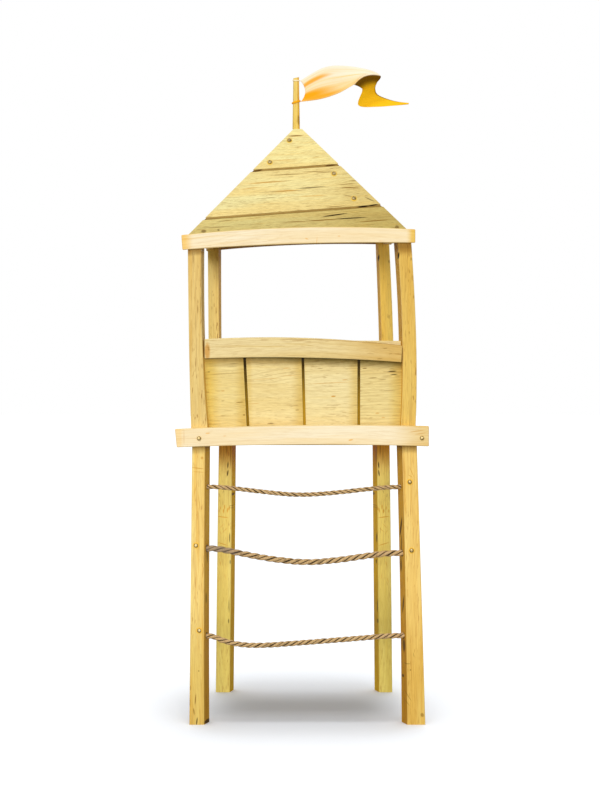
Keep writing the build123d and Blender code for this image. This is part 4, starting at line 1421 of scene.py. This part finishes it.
for node, timber in timbers.items():
    wood = {**sawn[timber["sort"]], **timber}
    finish = sawnTimber(node + "Wood", wood)
    for slotOfNode in cadNodes[node].material_slots:
        slotOfNode.material = finish
print("timbers finished:", len(timbers))


# Rope: yarns twisted against the lay, with painted shade between the yarns and deep between the
# strands
ropeFinish = {
    "pale": (246, 214, 160), "tan": (204, 158, 98), "deep": (40, 24, 8),
    "grey": (150, 134, 116), "yarns": 7, "yarnTurn": 2.6,
}


def ropeMaterial(name, grey):
    made, tree, shader, coords = startMaterial(name)
    place = separate(tree, coords["UV"])
    crown = tree.nodes.new("ShaderNodeAttribute")
    crown.attribute_name = "crown"
    around = maths(tree, "MULTIPLY_ADD", place["Y"], ropeFinish["yarnTurn"], place["X"])
    yarn = sineOf(tree, around, math.tau * ropeFinish["yarns"])
    fibre = grainNoise(tree, combine(tree, X=around, Y=place["Y"]), (26, 7, 1), 3)
    blotch = grainNoise(tree, coords["Object"], (38, 38, 38), 3)
    tone = blend(tree, fade(tree, fibre, 0.35, 0.65), linear(*ropeFinish["pale"]),
                 linear(*ropeFinish["tan"]))
    # Dark blotches, then painted shade in the troughs between yarns and, where the crown is low,
    # deep between the strands
    for value, start, end, amount in ((blotch, 0.5, 0.75, 0.5), (yarn, -0.2, -1, 0.55),
                                      (crown.outputs["Fac"], 0.76, 0.46, 0.95)):
        tone = blend(tree, fade(tree, value, start, end, 0, amount), tone,
                     linear(*ropeFinish["deep"]))
    if grey:
        end = useGroup(tree, bandGroup, Vector=coords["Object"], Direction=leftSide,
                       Start=0.27, End=0.40, Ragged=0.05)
        tone = tint(tree, tone, end["Mask"], 0.6, linear(*ropeFinish["grey"]))
    finishShader(tree, shader, maths(tree, "MULTIPLY_ADD", yarn, 0.5, fibre), 0.7, 0.0012,
                 {"Base Color": tone, "Roughness": 0.85, "Specular IOR Level": 0.1})
    return made


plainRope, greyRope = ropeMaterial("layRope", False), ropeMaterial("layRopeGreyEnd", True)
for name, piece in ropePieces.items():
    piece.data.materials.append(greyRope if name == "middleRung" else plainRope)


# Dulled brass of the heads: smudged, with fine scratches
def brassMaterial():
    made, tree, shader, coords = startMaterial("dulledBrass")
    spots = grainNoise(tree, coords["Object"], (420, 420, 420), 4)
    smudge = grainNoise(tree, coords["Object"], (90, 90, 90), 3)
    tone = blend(tree, fade(tree, smudge, 0.35, 0.65), linear(188, 168, 118),
                 linear(128, 104, 56))
    tone = blend(tree, fade(tree, spots, 0.55, 0.75, 0, 0.6), tone, linear(84, 62, 26))
    rough = fade(tree, spots, 0.3, 0.7, 0.32, 0.52)
    finishShader(tree, shader, spots, 0.15, 0.0006,
                 {"Base Color": tone, "Roughness": rough, "Metallic": 0.75})
    return made


brass = brassMaterial()
for head in metalHeads:
    head.data.materials.clear()
    head.data.materials.append(brass)


# Cloth: woven, cream by the hoist as a painted highlight where it faces up to the light,
# painted shade under the fold, amber past it, orange patches by the hoist's corners
flagFinish = {
    "highlightCream": (255, 240, 212), "peach": (255, 214, 138), "orange": (250, 170, 18),
    "amber": (255, 198, 26), "shade": (124, 84, 0), "edge": (120, 84, 4), "threads": 1500,
}


def clothMaterial(name, tie):
    made, tree, shader, coords = startMaterial(name)
    peach, orange = linear(*flagFinish["peach"]), linear(*flagFinish["orange"])
    if tie:
        upper = fade(tree, separate(tree, coords["Object"])["Z"], 3.19, 3.22)
        twist = grainNoise(tree, coords["Object"], (160, 160, 420), 3)
        tone = blend(tree, upper, linear(250, 176, 14), linear(254, 238, 196))
        tone = blend(tree, fade(tree, twist, 0.5, 0.75, 0, 0.35), tone, orange, "MULTIPLY")
        height = twist
    else:
        along, down = separate(tree, coords["UV"])[:2]
        streak = grainNoise(tree, coords["UV"], (1.6, 7, 1), 3, distortion=0.5)
        # Cream, a painted highlight where the cloth faces up to the light, streaked with peach
        tone = blend(tree, fade(tree, streak, 0.42, 0.66), linear(*flagFinish["highlightCream"]), peach)
        tone = blend(tree, fade(tree, down, 0.25, 0.9, 0, 0.8), tone, peach)
        for centre, size, core, amount in (
                ((0.05, 0.27, 0), (0.14, 0.12, 1), 0.3, 0.9),
                ((0, 0.78, 0), (0.26, 0.26, 1), 0.3, 1),
                ((0.12, 0.92, 0), (0.2, 0.12, 1), 0.2, 0.9)):
            blot = useGroup(tree, markGroup, Vector=coords["UV"], Centre=centre, Size=size,
                            Core=core, Ragged=0.3)
            tone = tint(tree, tone, blot["Mask"], amount, orange)
        # Painted shade under the fold, then amber past it
        tone = blend(tree, fade(tree, along, 0.43, 0.455), tone, linear(*flagFinish["shade"]))
        tone = blend(tree, fade(tree, along, 0.5, 0.62), tone, linear(*flagFinish["amber"]))
        # A dark line along the tail's right edge
        darkEdge = maths(tree, "MULTIPLY", fade(tree, down, 0.1, 0.0),
                    fade(tree, along, 0.56, 0.64, 0, 0.8))
        darkEdge = maths(tree, "MULTIPLY", darkEdge, fade(tree, along, 0.98, 0.9))
        tone = blend(tree, darkEdge, tone, linear(*flagFinish["edge"]))
        height = maths(tree, "MULTIPLY", sineOf(tree, along, flagFinish["threads"]),
                       sineOf(tree, down, flagFinish["threads"] / 5))
    finishShader(tree, shader, height, 0.15, 0.0004,
                 {"Base Color": tone, "Roughness": 0.75, "Specular IOR Level": 0.1})
    return made


flagPiece.data.materials.append(clothMaterial("pennantCloth", False))
tiePiece.data.materials.append(clothMaterial("tieCloth", True))
print("rope, brass and cloth finished")
